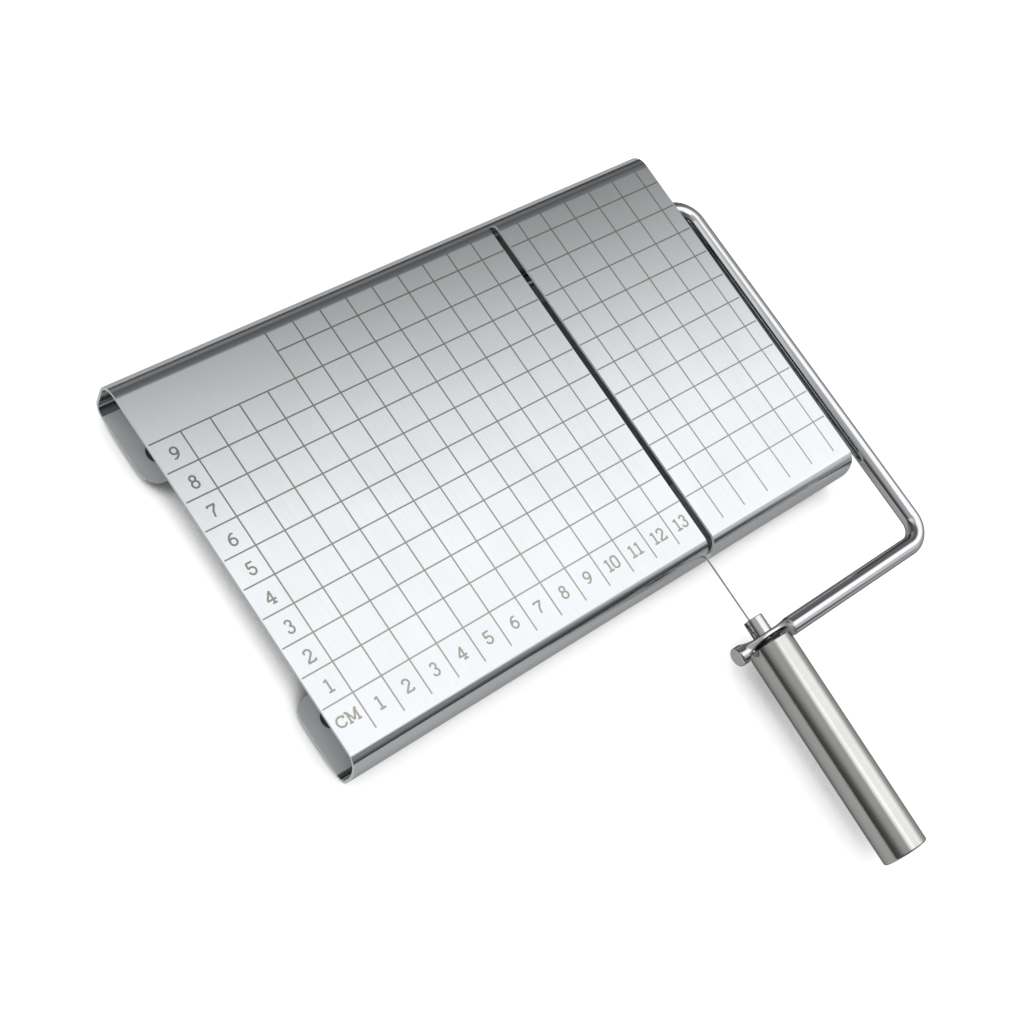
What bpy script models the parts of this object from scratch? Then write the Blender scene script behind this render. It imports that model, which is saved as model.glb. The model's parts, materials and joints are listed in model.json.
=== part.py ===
"""Wire butter slicer.

A folded steel board carries a swinging wire frame. The frame is one bent rod: its rear leg turns in
two sleeves under the board, its arm passes the board's right end, and its front leg ends in a pressed
eyelet. The cutting wire runs from the rear leg to a tension stud in the eyelet, and the stud is drawn
by a turning handle.

Layout lengths are in metres, measured from the board's front left corner: X to the right along the
board, Y to the rear from the front wall's outer face, Z upwards from the work surface.
"""

import math

import bmesh
import bpy
from mathutils import Vector

# Board: one folded sheet with the flanges turned in
BOARD_LENGTH = 0.2110
BOARD_DEPTH = 0.1340
BOARD_HEIGHT = 0.0178
SHEET_THICKNESS = 0.0010
FRONT_TOP_BEND_RADIUS = 0.0056
REAR_TOP_BEND_RADIUS = 0.0065
BOTTOM_BEND_RADIUS = 0.0043
FRONT_FLANGE_DEPTH = 0.0284
REAR_FLANGE_DEPTH = 0.0300
FLANGE_CORNER_RADIUS = 0.0060

# Wire slot in the top and the front wall
SLOT_FROM_RIGHT_END = 0.0690
SLOT_WIDTH = 0.0029
SLOT_REAR_MARGIN = 0.0050
SLOT_LOWER_END_DEPTH = 0.0070
SLOT_END_CORNER_RADIUS = 0.0005

# Rubber feet pushed through the flanges
FOOT_END_INSET = 0.0082
FOOT_EDGE_INSET = 0.0093
FOOT_HOLE_RADIUS = 0.0025
FOOT_PAD_RADIUS = 0.0050
FOOT_PAD_HEIGHT = 0.0025
FOOT_PAD_CHAMFER = 0.0004
FOOT_HEAD_RADIUS = 0.0035
FOOT_HEAD_HEIGHT = 0.0020
FOOT_HEAD_CHAMFER = 0.0008

# Swing frame: one bent rod
ROD_RADIUS = 0.00325
PIVOT_SETBACK = 0.0231
PIVOT_DROP = 0.0065
ARM_OFFSET = 0.0100
ARM_REAR_INSET = 0.0014
FRONT_LEG_REACH = 0.0328
CORNER_BEND_RADIUS = 0.0080
LEG_OVERRUN = 0.0269
ROD_END_CHAMFER = 0.0005
STUB_END_ROUND = 0.0008
STUB_LENGTH = 0.0029
STUB_SETBACK = 0.0010

# Pressed eyelet in the front leg
EYELET_HALF_LENGTH = 0.0105
EYELET_HALF_HEIGHT = 0.0070
EYELET_THICKNESS = 0.0020
EYELET_REAR_INSET = 0.00055

# Sleeves, their saddles under the board and the rings on the leg
SLEEVE_WALL = 0.0012
SLEEVE_SHOULDER_RADIUS = 0.0052
SLEEVE_SHOULDER_WIDTH = 0.0008
SADDLE_THICKNESS = 0.0012
SADDLE_WIDTH = 0.0120
SADDLE_FOOT_LENGTH = 0.0070
OUTER_SADDLE_INSET = 0.0160
RING_OUTER_RADIUS = 0.0051
RING_WIDTH = 0.0008
RING_GROOVE_DEPTH = 0.0006
RING_MOUTH_ANGLE = math.radians(80)
LEG_TIP_LENGTH = 0.0026

# Cutting wire and the ferrules on its ends
WIRE_RADIUS = 0.0003
WIRE_HOLE_RADIUS = 0.0006
FERRULE_RADIUS = 0.0013
FERRULE_LENGTH = 0.0022
FERRULE_BORE_RADIUS = 0.00045
FERRULE_PROUD = 0.0006
WIRE_SIDE_SET = 0.0013

# Tension stud in the eyelet
STUD_RADIUS = 0.0034
STUD_REAR_LENGTH = 0.0060
STUD_SEAT_WALL = 0.0014
STUD_POCKET_WIDTH = 0.0030
STUD_SHOULDER_INSET = 0.0002
STUD_EDGE_CHAMFER = 0.0003
SHANK_RADIUS = 0.00235
SHANK_LENGTH = 0.0200
SHANK_TIP_CHAMFER = 0.0006
STUD_TRAVEL = 0.0021

# Washer between the eyelet and the handle
WASHER_RADIUS = 0.0050
WASHER_THICKNESS = 0.0009

# Handle: a tube with a threaded plug at its top and a closing disc at its end
HANDLE_RADIUS = 0.00785
HANDLE_WALL = 0.0010
HANDLE_LENGTH = 0.0784
HANDLE_LEAN = math.radians(1.98)
HANDLE_TOP_CHAMFER = 0.0005
HANDLE_END_CHAMFER = 0.0007
PLUG_LENGTH = 0.0180
PLUG_RECESS = 0.0003
END_DISC_THICKNESS = 0.0030
END_DISC_CHAMFER = 0.0004

# Clearances shared by the fits
SEAT_GAP = 0.0003
RUNNING_GAP = 0.0001
SLIDING_GAP = 0.0002
WASHER_GAP = 0.00025
PRESSED_GAP = 0.00015
CUT_OVERRUN = 0.0010
MERGE_DISTANCE = 0.0000005

# Facets and shapes without a unit
ARC_STEPS = 8
BEND_STEPS = 10
ROUND_STEPS = 32
SMALL_ROUND_STEPS = 20
TINY_ROUND_STEPS = 12
EYELET_STEPS = 20
EYELET_FLANK_POWER = 5
EYELET_OUTLINE_POWER = 1.5
ROUND_POWER = 2
FLAT_POWER = 5
SADDLE_BEND_SHARE = 1.25
SADDLE_ROUND_SHARE = 0.98
SMOOTH_ANGLE = math.radians(40)

# Places that follow from the sizes
SLOT_X = BOARD_LENGTH - SLOT_FROM_RIGHT_END
PIVOT_Y = BOARD_DEPTH - PIVOT_SETBACK
ARM_X = BOARD_LENGTH + ARM_OFFSET
SWING_RADIUS = PIVOT_Y + FRONT_LEG_REACH
UNDERSIDE_Z = -SHEET_THICKNESS
SLEEVE_BORE_RADIUS = ROD_RADIUS + RUNNING_GAP
SLEEVE_RADIUS = SLEEVE_BORE_RADIUS + SLEEVE_WALL
SLEEVE_LENGTH = SADDLE_WIDTH + 2 * SLIDING_GAP + 2 * SLEEVE_SHOULDER_WIDTH
RING_BORE_RADIUS = ROD_RADIUS - RING_GROOVE_DEPTH + RUNNING_GAP
GROOVE_WIDTH = RING_WIDTH + 2 * RUNNING_GAP
LEG_END_X = SLOT_X - LEG_OVERRUN
INNER_RING_X = LEG_END_X + LEG_TIP_LENGTH + GROOVE_WIDTH / 2
INNER_SADDLE_X = INNER_RING_X + RING_WIDTH / 2 + SLIDING_GAP + SLEEVE_LENGTH / 2
OUTER_SADDLE_X = BOARD_LENGTH - OUTER_SADDLE_INSET
OUTER_RING_X = OUTER_SADDLE_X + SLEEVE_LENGTH / 2 + SLIDING_GAP + RING_WIDTH / 2
STUB_END_X = SLOT_X - EYELET_HALF_LENGTH - STUB_LENGTH

# Places along the handle's axis, counted outwards from the front leg's middle line
EYELET_REAR_S = EYELET_REAR_INSET - ROD_RADIUS
EYELET_FRONT_S = EYELET_REAR_S + EYELET_THICKNESS
WASHER_REAR_S = EYELET_FRONT_S + WASHER_GAP
WASHER_FRONT_S = WASHER_REAR_S + WASHER_THICKNESS
HANDLE_TOP_S = WASHER_FRONT_S + WASHER_GAP
HANDLE_END_S = HANDLE_TOP_S + HANDLE_LENGTH
STUD_REAR_S = EYELET_REAR_S - STUD_REAR_LENGTH
POCKET_REAR_S = STUD_REAR_S + STUD_SEAT_WALL
FERRULE_REAR_S = POCKET_REAR_S + PRESSED_GAP
FERRULE_FRONT_S = FERRULE_REAR_S + FERRULE_LENGTH
POCKET_FRONT_S = FERRULE_FRONT_S + STUD_TRAVEL + PRESSED_GAP
SHANK_START_S = EYELET_FRONT_S - STUD_SHOULDER_INSET

# The origin is the middle of the whole object's footprint, at the feet's underside
LOWEST_Z = -(BOARD_HEIGHT + SEAT_GAP + FOOT_PAD_HEIGHT)
RIGHT_X = ARM_X + ROD_RADIUS
FRONT_Y = (
    -FRONT_LEG_REACH
    - HANDLE_END_S * math.cos(HANDLE_LEAN)
    - (HANDLE_RADIUS - HANDLE_END_CHAMFER) * math.sin(HANDLE_LEAN)
)
LAYOUT_SHIFT = Vector((-RIGHT_X / 2, -(BOARD_DEPTH + FRONT_Y) / 2, -LOWEST_Z))

ALONG_X = (0, math.radians(90), 0)
ALONG_HANDLE = (math.radians(90), 0, -HANDLE_LEAN)


def clear_scene():
    """Remove every object of the file."""
    for item in list(bpy.data.objects):
        bpy.data.objects.remove(item, do_unlink=True)


def make_material(name, colour, roughness, metallic):
    """Return a Principled material."""
    material = bpy.data.materials.new(name)
    material.use_nodes = True
    shader = material.node_tree.nodes["Principled BSDF"]
    shader.inputs["Base Color"].default_value = (*colour, 1)
    shader.inputs["Roughness"].default_value = roughness
    shader.inputs["Metallic"].default_value = metallic
    return material


def make_empty(name, parent=None, location=(0, 0, 0), rotation=(0, 0, 0)):
    """Return an empty that carries a group of pieces."""
    empty = bpy.data.objects.new(name, None)
    bpy.context.scene.collection.objects.link(empty)
    empty.parent = parent
    empty.location = location
    empty.rotation_euler = rotation
    return empty


def make_piece(name, shape, material, parent, location=(0, 0, 0), rotation=(0, 0, 0)):
    """Turn a bmesh into a named object, shaded smooth across its shallow edges."""
    bmesh.ops.remove_doubles(shape, verts=shape.verts, dist=MERGE_DISTANCE)
    bmesh.ops.recalc_face_normals(shape, faces=shape.faces)
    mesh = bpy.data.meshes.new(name)
    shape.to_mesh(mesh)
    shape.free()
    mesh.shade_smooth()
    mesh.set_sharp_from_angle(angle=SMOOTH_ANGLE)
    if material is not None:
        mesh.materials.append(material)
    piece = bpy.data.objects.new(name, mesh)
    bpy.context.scene.collection.objects.link(piece)
    piece.parent = parent
    piece.location = location
    piece.rotation_euler = rotation
    return piece


def cut(piece, shape, name, parent, location=(0, 0, 0), rotation=(0, 0, 0)):
    """Cut a shape out of a piece with a Boolean and keep the cutter as a guide."""
    cutter = make_piece(name, shape, None, parent, location, rotation)
    cutter.hide_render = True
    cutter.display_type = "WIRE"
    boolean = piece.modifiers.new(name, "BOOLEAN")
    boolean.operation = "DIFFERENCE"
    boolean.solver = "EXACT"
    boolean.object = cutter


def turned(profile, steps=ROUND_STEPS):
    """Spin an open or closed profile of (radius, height) points about Z."""
    shape = bmesh.new()
    points = [shape.verts.new((radius, 0, height)) for radius, height in profile]
    edges = [shape.edges.new(pair) for pair in zip(points, points[1:])]
    bmesh.ops.spin(
        shape,
        geom=points + edges,
        axis=(0, 0, 1),
        cent=(0, 0, 0),
        angle=math.tau,
        steps=steps,
        use_merge=True,
    )
    return shape


def prism(outline, depth, rise=0):
    """Extrude a closed outline of (x, y) points by depth along Z, starting at rise."""
    shape = bmesh.new()
    face = shape.faces.new([shape.verts.new((x, y, rise)) for x, y in outline])
    grown = bmesh.ops.extrude_face_region(shape, geom=[face])
    moved = [item for item in grown["geom"] if isinstance(item, bmesh.types.BMVert)]
    bmesh.ops.translate(shape, verts=moved, vec=(0, 0, depth))
    return shape


def cylinder(radius, low, high, steps=SMALL_ROUND_STEPS):
    """Return a plain cylinder about Z between two heights."""
    return turned([(0, low), (radius, low), (radius, high), (0, high)], steps)


def arc(centre, radius, start, end, steps=ARC_STEPS):
    """Return points on an arc from one angle to another."""
    points = []
    for index in range(steps + 1):
        angle = start + (end - start) * index / steps
        points.append((centre[0] + radius * math.cos(angle), centre[1] + radius * math.sin(angle)))
    return points


def rounded_path(corners, radii, steps=BEND_STEPS):
    """Return (point, left normal) pairs along a path whose inner corners are rounded."""
    corners = [Vector(corner) for corner in corners]
    headings = [(after - before).normalized() for before, after in zip(corners, corners[1:])]
    path = [(corners[0], Vector((-headings[0].y, headings[0].x)))]
    for corner, radius, before, after in zip(corners[1:-1], radii, headings, headings[1:]):
        turn = math.atan2(before.cross(after), before.dot(after))
        side = math.copysign(1, turn)
        left = Vector((-before.y, before.x))
        start = corner - before * radius * math.tan(abs(turn) / 2)
        centre = start + left * side * radius
        for index in range(steps + 1):
            angle = turn * index / steps
            normal = Vector(
                (
                    left.x * math.cos(angle) - left.y * math.sin(angle),
                    left.x * math.sin(angle) + left.y * math.cos(angle),
                )
            )
            path.append((centre - normal * side * radius, normal))
    path.append((corners[-1], Vector((-headings[-1].y, headings[-1].x))))
    return path


def folded_strip(corners, radii, thickness):
    """Return the outline of a strip of sheet folded along a middle line."""
    path = rounded_path(corners, radii, ARC_STEPS)
    left = [point + normal * thickness / 2 for point, normal in path]
    right = [point - normal * thickness / 2 for point, normal in path]
    return [tuple(point) for point in left + right[::-1]]


def build_board(parent, material):
    """Fold the sheet, then cut its slot, foot holes and flange corners."""
    half = SHEET_THICKNESS / 2
    outline = folded_strip(
        [
            (FRONT_FLANGE_DEPTH, -BOARD_HEIGHT + half),
            (half, -BOARD_HEIGHT + half),
            (half, -half),
            (BOARD_DEPTH - half, -half),
            (BOARD_DEPTH - half, -BOARD_HEIGHT + half),
            (BOARD_DEPTH - REAR_FLANGE_DEPTH, -BOARD_HEIGHT + half),
        ],
        [
            BOTTOM_BEND_RADIUS - half,
            FRONT_TOP_BEND_RADIUS - half,
            REAR_TOP_BEND_RADIUS - half,
            BOTTOM_BEND_RADIUS - half,
        ],
        SHEET_THICKNESS,
    )
    upright = (math.radians(90), 0, math.radians(90))
    board = make_piece("board_sheet", prism(outline, BOARD_LENGTH), material, parent, rotation=upright)

    half_width = SLOT_WIDTH / 2
    rear_centre = (SLOT_X, BOARD_DEPTH - SLOT_REAR_MARGIN - half_width)
    plan = [(SLOT_X - half_width, -CUT_OVERRUN), (SLOT_X + half_width, -CUT_OVERRUN)]
    plan += arc(rear_centre, half_width, 0, math.pi)
    corner_depth = SLOT_LOWER_END_DEPTH - SLOT_END_CORNER_RADIUS
    cut(board, prism(plan, CUT_OVERRUN + corner_depth, -corner_depth), "slot_cutter", parent)
    side = half_width - SLOT_END_CORNER_RADIUS
    lower_end = [(-half_width, corner_depth - CUT_OVERRUN), (half_width, corner_depth - CUT_OVERRUN)]
    lower_end += arc((side, corner_depth), SLOT_END_CORNER_RADIUS, 0, math.pi / 2)
    lower_end += arc((-side, corner_depth), SLOT_END_CORNER_RADIUS, math.pi / 2, math.pi)
    end_cutter = prism(lower_end, SHEET_THICKNESS + 2 * CUT_OVERRUN, -CUT_OVERRUN)
    cut(board, end_cutter, "slot_end_cutter", parent, (SLOT_X, 0, 0), (math.radians(-90), 0, 0))

    flange_bottom = -BOARD_HEIGHT - CUT_OVERRUN
    through = SHEET_THICKNESS + 2 * CUT_OVERRUN
    for name, x, y in foot_places():
        hole = cylinder(FOOT_HOLE_RADIUS, flange_bottom, flange_bottom + through)
        cut(board, hole, "hole_" + name, parent, (x, y, 0))
    edges = (("front", FRONT_FLANGE_DEPTH, 1), ("rear", BOARD_DEPTH - REAR_FLANGE_DEPTH, -1))
    for row, edge_y, way in edges:
        for side, end_x, inwards in (("left", 0, 1), ("right", BOARD_LENGTH, -1)):
            centre = (end_x + inwards * FLANGE_CORNER_RADIUS, edge_y - way * FLANGE_CORNER_RADIUS)
            start = 0 if inwards < 0 else math.pi
            sweep = -math.pi / 2 * inwards * way
            corner = arc(centre, FLANGE_CORNER_RADIUS, start, start + sweep)
            corner += [
                (centre[0], edge_y + way * CUT_OVERRUN),
                (end_x - inwards * CUT_OVERRUN, edge_y + way * CUT_OVERRUN),
                (end_x - inwards * CUT_OVERRUN, centre[1]),
            ]
            trimmer = prism(corner, through, flange_bottom)
            cut(board, trimmer, "corner_" + row + "_" + side, parent)


def foot_places():
    """Return the name and the place of each foot."""
    rows = (
        ("front", FRONT_FLANGE_DEPTH - FOOT_EDGE_INSET),
        ("rear", BOARD_DEPTH - REAR_FLANGE_DEPTH + FOOT_EDGE_INSET),
    )
    columns = (("left", FOOT_END_INSET), ("right", BOARD_LENGTH - FOOT_END_INSET))
    return [("foot_" + row + "_" + side, x, y) for row, y in rows for side, x in columns]


def build_feet(parent, material):
    """Make the push-in feet: a pad below the flange, a neck and a head above it."""
    pad_top = -BOARD_HEIGHT - SEAT_GAP
    pad_bottom = pad_top - FOOT_PAD_HEIGHT
    head_bottom = SHEET_THICKNESS - BOARD_HEIGHT + SEAT_GAP
    head_top = head_bottom + FOOT_HEAD_HEIGHT
    neck_radius = FOOT_HOLE_RADIUS - SEAT_GAP
    profile = [
        (0, pad_bottom),
        (FOOT_PAD_RADIUS - FOOT_PAD_CHAMFER, pad_bottom),
        (FOOT_PAD_RADIUS, pad_bottom + FOOT_PAD_CHAMFER),
        (FOOT_PAD_RADIUS, pad_top),
        (neck_radius, pad_top),
        (neck_radius, head_bottom),
        (FOOT_HEAD_RADIUS, head_bottom),
        (FOOT_HEAD_RADIUS, head_top - FOOT_HEAD_CHAMFER),
        (FOOT_HEAD_RADIUS - FOOT_HEAD_CHAMFER, head_top),
        (0, head_top),
    ]
    for name, x, y in foot_places():
        make_piece(name, turned(profile, SMALL_ROUND_STEPS), material, parent, (x, y, 0))


def build_saddles(parent, material):
    """Make the hat-shaped straps that hold the sleeves under the sheet."""
    top_z = UNDERSIDE_Z - SEAT_GAP + PIVOT_DROP - SADDLE_THICKNESS / 2
    hug_radius = SLEEVE_RADIUS + RUNNING_GAP + SADDLE_THICKNESS / 2
    reach = hug_radius + SADDLE_THICKNESS * SADDLE_BEND_SHARE + SADDLE_FOOT_LENGTH
    outline = folded_strip(
        [(-reach, top_z), (-hug_radius, top_z), (-hug_radius, -hug_radius)]
        + [(hug_radius, -hug_radius), (hug_radius, top_z), (reach, top_z)],
        [
            SADDLE_THICKNESS * SADDLE_BEND_SHARE,
            hug_radius * SADDLE_ROUND_SHARE,
            hug_radius * SADDLE_ROUND_SHARE,
            SADDLE_THICKNESS * SADDLE_BEND_SHARE,
        ],
        SADDLE_THICKNESS,
    )
    upright = (math.radians(90), 0, math.radians(90))
    for name, x in (("saddle_inner", INNER_SADDLE_X), ("saddle_outer", OUTER_SADDLE_X)):
        strap = prism(outline, SADDLE_WIDTH, -SADDLE_WIDTH / 2)
        make_piece(name, strap, material, parent, (x, PIVOT_Y, -PIVOT_DROP), upright)


def build_sleeves(parent, material):
    """Make the spool-shaped bearing sleeves that the saddles hold."""
    half = SLEEVE_LENGTH / 2
    inner_half = half - SLEEVE_SHOULDER_WIDTH
    profile = [
        (SLEEVE_BORE_RADIUS, -half),
        (SLEEVE_SHOULDER_RADIUS, -half),
        (SLEEVE_SHOULDER_RADIUS, -inner_half),
        (SLEEVE_RADIUS, -inner_half),
        (SLEEVE_RADIUS, inner_half),
        (SLEEVE_SHOULDER_RADIUS, inner_half),
        (SLEEVE_SHOULDER_RADIUS, half),
        (SLEEVE_BORE_RADIUS, half),
        (SLEEVE_BORE_RADIUS, -half),
    ]
    for name, x in (("sleeve_inner", INNER_SADDLE_X), ("sleeve_outer", OUTER_SADDLE_X)):
        make_piece(name, turned(profile), material, parent, (x, PIVOT_Y, -PIVOT_DROP), ALONG_X)


def build_rings(pivot, material):
    """Make the open retaining rings that snap into the leg's grooves."""
    start = RING_MOUTH_ANGLE / 2
    end = math.tau - start
    outline = arc((0, 0), RING_OUTER_RADIUS, start, end, SMALL_ROUND_STEPS)
    outline += arc((0, 0), RING_BORE_RADIUS, end, start, SMALL_ROUND_STEPS)
    for name, x in (("ring_inner", INNER_RING_X), ("ring_outer", OUTER_RING_X)):
        ring = prism(outline, RING_WIDTH, -RING_WIDTH / 2)
        make_piece(name, ring, material, pivot, (x, 0, 0), ALONG_X)


def rod_section(middle, normal, outer, inner, half_height, power):
    """Return a ring of points round the rod, flattened by a higher power."""
    ring = []
    for index in range(ROUND_STEPS):
        angle = math.tau * index / ROUND_STEPS
        across = math.copysign(abs(math.cos(angle)) ** (2 / power), math.cos(angle))
        upwards = math.copysign(abs(math.sin(angle)) ** (2 / power), math.sin(angle))
        spot = middle + normal * ((outer + inner) / 2 + (outer - inner) / 2 * across)
        ring.append((spot.x, spot.y, half_height * upwards))
    return ring


def round_section(middle, normal, radius):
    """Return a round ring of points about the rod's middle line."""
    return rod_section(middle, normal, radius, -radius, radius, ROUND_POWER)


def leg_sections():
    """Return the rings along the rear leg: its end, its grooves and the plain stretches."""
    outwards = Vector((0, 1))
    core = ROD_RADIUS - RING_GROOVE_DEPTH
    places = [(LEG_END_X, ROD_RADIUS - ROD_END_CHAMFER), (LEG_END_X + ROD_END_CHAMFER, ROD_RADIUS)]
    for x in (INNER_RING_X, OUTER_RING_X):
        low = x - GROOVE_WIDTH / 2
        high = x + GROOVE_WIDTH / 2
        places += [(low, ROD_RADIUS), (low, core), (high, core), (high, ROD_RADIUS)]
    return [round_section(Vector((x, 0)), outwards, radius) for x, radius in places]


def corner_sections():
    """Return the rings through the two bent corners and along the arm between them."""
    path = rounded_path(
        [
            (LEG_END_X, 0),
            (ARM_X - ARM_REAR_INSET, 0),
            (ARM_X, -SWING_RADIUS),
            (STUB_END_X, -SWING_RADIUS),
        ],
        [CORNER_BEND_RADIUS, CORNER_BEND_RADIUS],
    )
    return [round_section(point, normal, ROD_RADIUS) for point, normal in path[1:-1]]


def eyelet_sections():
    """Return the rings through the pressed eyelet."""
    outwards = Vector((0, -1))
    sections = []
    for index in range(EYELET_STEPS + 1):
        share = 1 - 2 * index / EYELET_STEPS
        pressed = 1 - abs(share) ** EYELET_FLANK_POWER
        middle_s = -STUB_SETBACK if share < 0 else 0
        outer = (middle_s + ROD_RADIUS) * (1 - pressed) + EYELET_FRONT_S * pressed
        inner = (middle_s - ROD_RADIUS) * (1 - pressed) + EYELET_REAR_S * pressed
        swell = (1 - share * share) ** EYELET_OUTLINE_POWER
        half_height = ROD_RADIUS + (EYELET_HALF_HEIGHT - ROD_RADIUS) * swell
        power = ROUND_POWER + (FLAT_POWER - ROUND_POWER) * pressed
        middle = Vector((SLOT_X + EYELET_HALF_LENGTH * share, -SWING_RADIUS))
        sections.append(rod_section(middle, outwards, outer, inner, half_height, power))
    return sections


def stub_sections():
    """Return the rings over the rounded end of the front leg."""
    outwards = Vector((0, -1))
    sections = []
    for index in range(ARC_STEPS // 2 + 1):
        angle = math.pi / 2 * index / (ARC_STEPS // 2)
        x = STUB_END_X + STUB_END_ROUND * (1 - math.sin(angle))
        radius = ROD_RADIUS - STUB_END_ROUND * (1 - math.cos(angle))
        middle = Vector((x, STUB_SETBACK - SWING_RADIUS))
        sections.append(round_section(middle, outwards, radius))
    return sections


def loft(sections):
    """Join rings of points into one closed skin."""
    shape = bmesh.new()
    rings = [[shape.verts.new(point) for point in section] for section in sections]
    for near, far in zip(rings, rings[1:]):
        for index in range(ROUND_STEPS):
            after = (index + 1) % ROUND_STEPS
            shape.faces.new((near[index], near[after], far[after], far[index]))
    shape.faces.new(rings[0][::-1])
    shape.faces.new(rings[-1])
    return shape


def build_frame(pivot, handle_axis, wire_axis, material):
    """Bend the rod, press its eyelet and drill it for the stud and the wire."""
    sections = leg_sections() + corner_sections() + eyelet_sections() + stub_sections()
    frame = make_piece("swing_frame", loft(sections), material, pivot)
    stud_hole = cylinder(
        STUD_RADIUS + SLIDING_GAP, EYELET_REAR_S - CUT_OVERRUN, EYELET_FRONT_S + CUT_OVERRUN, ROUND_STEPS
    )
    cut(frame, stud_hole, "stud_hole_cutter", handle_axis)
    reach = ROD_RADIUS + CUT_OVERRUN
    wire_hole = turned(
        [
            (0, -reach),
            (FERRULE_RADIUS + SEAT_GAP, -reach),
            (FERRULE_RADIUS + SEAT_GAP, FERRULE_LENGTH - FERRULE_PROUD - ROD_RADIUS + SEAT_GAP),
            (WIRE_HOLE_RADIUS, FERRULE_LENGTH - FERRULE_PROUD - ROD_RADIUS + SEAT_GAP),
            (WIRE_HOLE_RADIUS, reach),
            (0, reach),
        ],
        SMALL_ROUND_STEPS,
    )
    cut(frame, wire_hole, "wire_hole_cutter", wire_axis)


def build_wire(wire_axis, wire_length, material, ferrule_material):
    """Stretch the cutting wire and put a ferrule on each of its ends."""
    rear_end = -ROD_RADIUS - FERRULE_PROUD
    front_end = wire_length
    strand = cylinder(WIRE_RADIUS, rear_end, front_end, TINY_ROUND_STEPS)
    make_piece("cutting_wire", strand, material, wire_axis)
    profile = [
        (FERRULE_BORE_RADIUS, 0),
        (FERRULE_RADIUS, 0),
        (FERRULE_RADIUS, FERRULE_LENGTH),
        (FERRULE_BORE_RADIUS, FERRULE_LENGTH),
        (FERRULE_BORE_RADIUS, 0),
    ]
    places = (("wire_ferrule_rear", rear_end), ("wire_ferrule_front", front_end - FERRULE_LENGTH))
    for name, start in places:
        ferrule = turned(profile, SMALL_ROUND_STEPS)
        make_piece(name, ferrule, ferrule_material, wire_axis, (0, 0, start))


def build_stud(handle_axis, material):
    """Turn the tension stud and cut the keyhole that takes the wire's front ferrule."""
    profile = [
        (0, STUD_REAR_S),
        (STUD_RADIUS - STUD_EDGE_CHAMFER, STUD_REAR_S),
        (STUD_RADIUS, STUD_REAR_S + STUD_EDGE_CHAMFER),
        (STUD_RADIUS, SHANK_START_S),
        (SHANK_RADIUS, SHANK_START_S),
        (SHANK_RADIUS, SHANK_START_S + SHANK_LENGTH - SHANK_TIP_CHAMFER),
        (SHANK_RADIUS - SHANK_TIP_CHAMFER, SHANK_START_S + SHANK_LENGTH),
        (0, SHANK_START_S + SHANK_LENGTH),
    ]
    stud = make_piece("tension_stud", turned(profile), material, handle_axis)
    mouth_x = -STUD_RADIUS - CUT_OVERRUN
    half = STUD_POCKET_WIDTH / 2
    pocket = [(mouth_x, half), (mouth_x, -half)]
    pocket += arc((-WIRE_SIDE_SET, 0), half, -math.pi / 2, math.pi / 2)
    cut(stud, prism(pocket, POCKET_FRONT_S - POCKET_REAR_S, POCKET_REAR_S), "pocket_cutter", handle_axis)
    groove = [(mouth_x, WIRE_HOLE_RADIUS), (mouth_x, -WIRE_HOLE_RADIUS)]
    groove += arc((-WIRE_SIDE_SET, 0), WIRE_HOLE_RADIUS, -math.pi / 2, math.pi / 2)
    depth = STUD_SEAT_WALL + 2 * CUT_OVERRUN
    cut(stud, prism(groove, depth, STUD_REAR_S - CUT_OVERRUN), "wire_groove_cutter", handle_axis)


def build_washer(handle_axis, material):
    """Make the bearing washer between the eyelet and the handle."""
    bore = SHANK_RADIUS + SEAT_GAP
    profile = [
        (bore, WASHER_REAR_S),
        (WASHER_RADIUS, WASHER_REAR_S),
        (WASHER_RADIUS, WASHER_FRONT_S),
        (bore, WASHER_FRONT_S),
        (bore, WASHER_REAR_S),
    ]
    make_piece("tension_washer", turned(profile), material, handle_axis)


def build_handle(handle_axis, tube_material, plug_material):
    """Make the handle's tube, the threaded plug in its top and the disc in its end."""
    bore = HANDLE_RADIUS - HANDLE_WALL
    tube = [
        (bore, HANDLE_TOP_S),
        (HANDLE_RADIUS - HANDLE_TOP_CHAMFER, HANDLE_TOP_S),
        (HANDLE_RADIUS, HANDLE_TOP_S + HANDLE_TOP_CHAMFER),
        (HANDLE_RADIUS, HANDLE_END_S - HANDLE_END_CHAMFER),
        (HANDLE_RADIUS - HANDLE_END_CHAMFER, HANDLE_END_S),
        (bore, HANDLE_END_S),
        (bore, HANDLE_TOP_S),
    ]
    make_piece("handle_tube", turned(tube), tube_material, handle_axis)
    fitted = bore - PRESSED_GAP
    thread = SHANK_RADIUS + SLIDING_GAP
    plug_top = HANDLE_TOP_S + PLUG_RECESS
    plug = [
        (thread, plug_top),
        (fitted, plug_top),
        (fitted, plug_top + PLUG_LENGTH),
        (thread, plug_top + PLUG_LENGTH),
        (thread, plug_top),
    ]
    make_piece("handle_plug", turned(plug), plug_material, handle_axis)
    disc = [
        (0, HANDLE_END_S - END_DISC_THICKNESS),
        (fitted, HANDLE_END_S - END_DISC_THICKNESS),
        (fitted, HANDLE_END_S - END_DISC_CHAMFER),
        (fitted - END_DISC_CHAMFER, HANDLE_END_S),
        (0, HANDLE_END_S),
    ]
    make_piece("handle_end_disc", turned(disc), tube_material, handle_axis)


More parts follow.
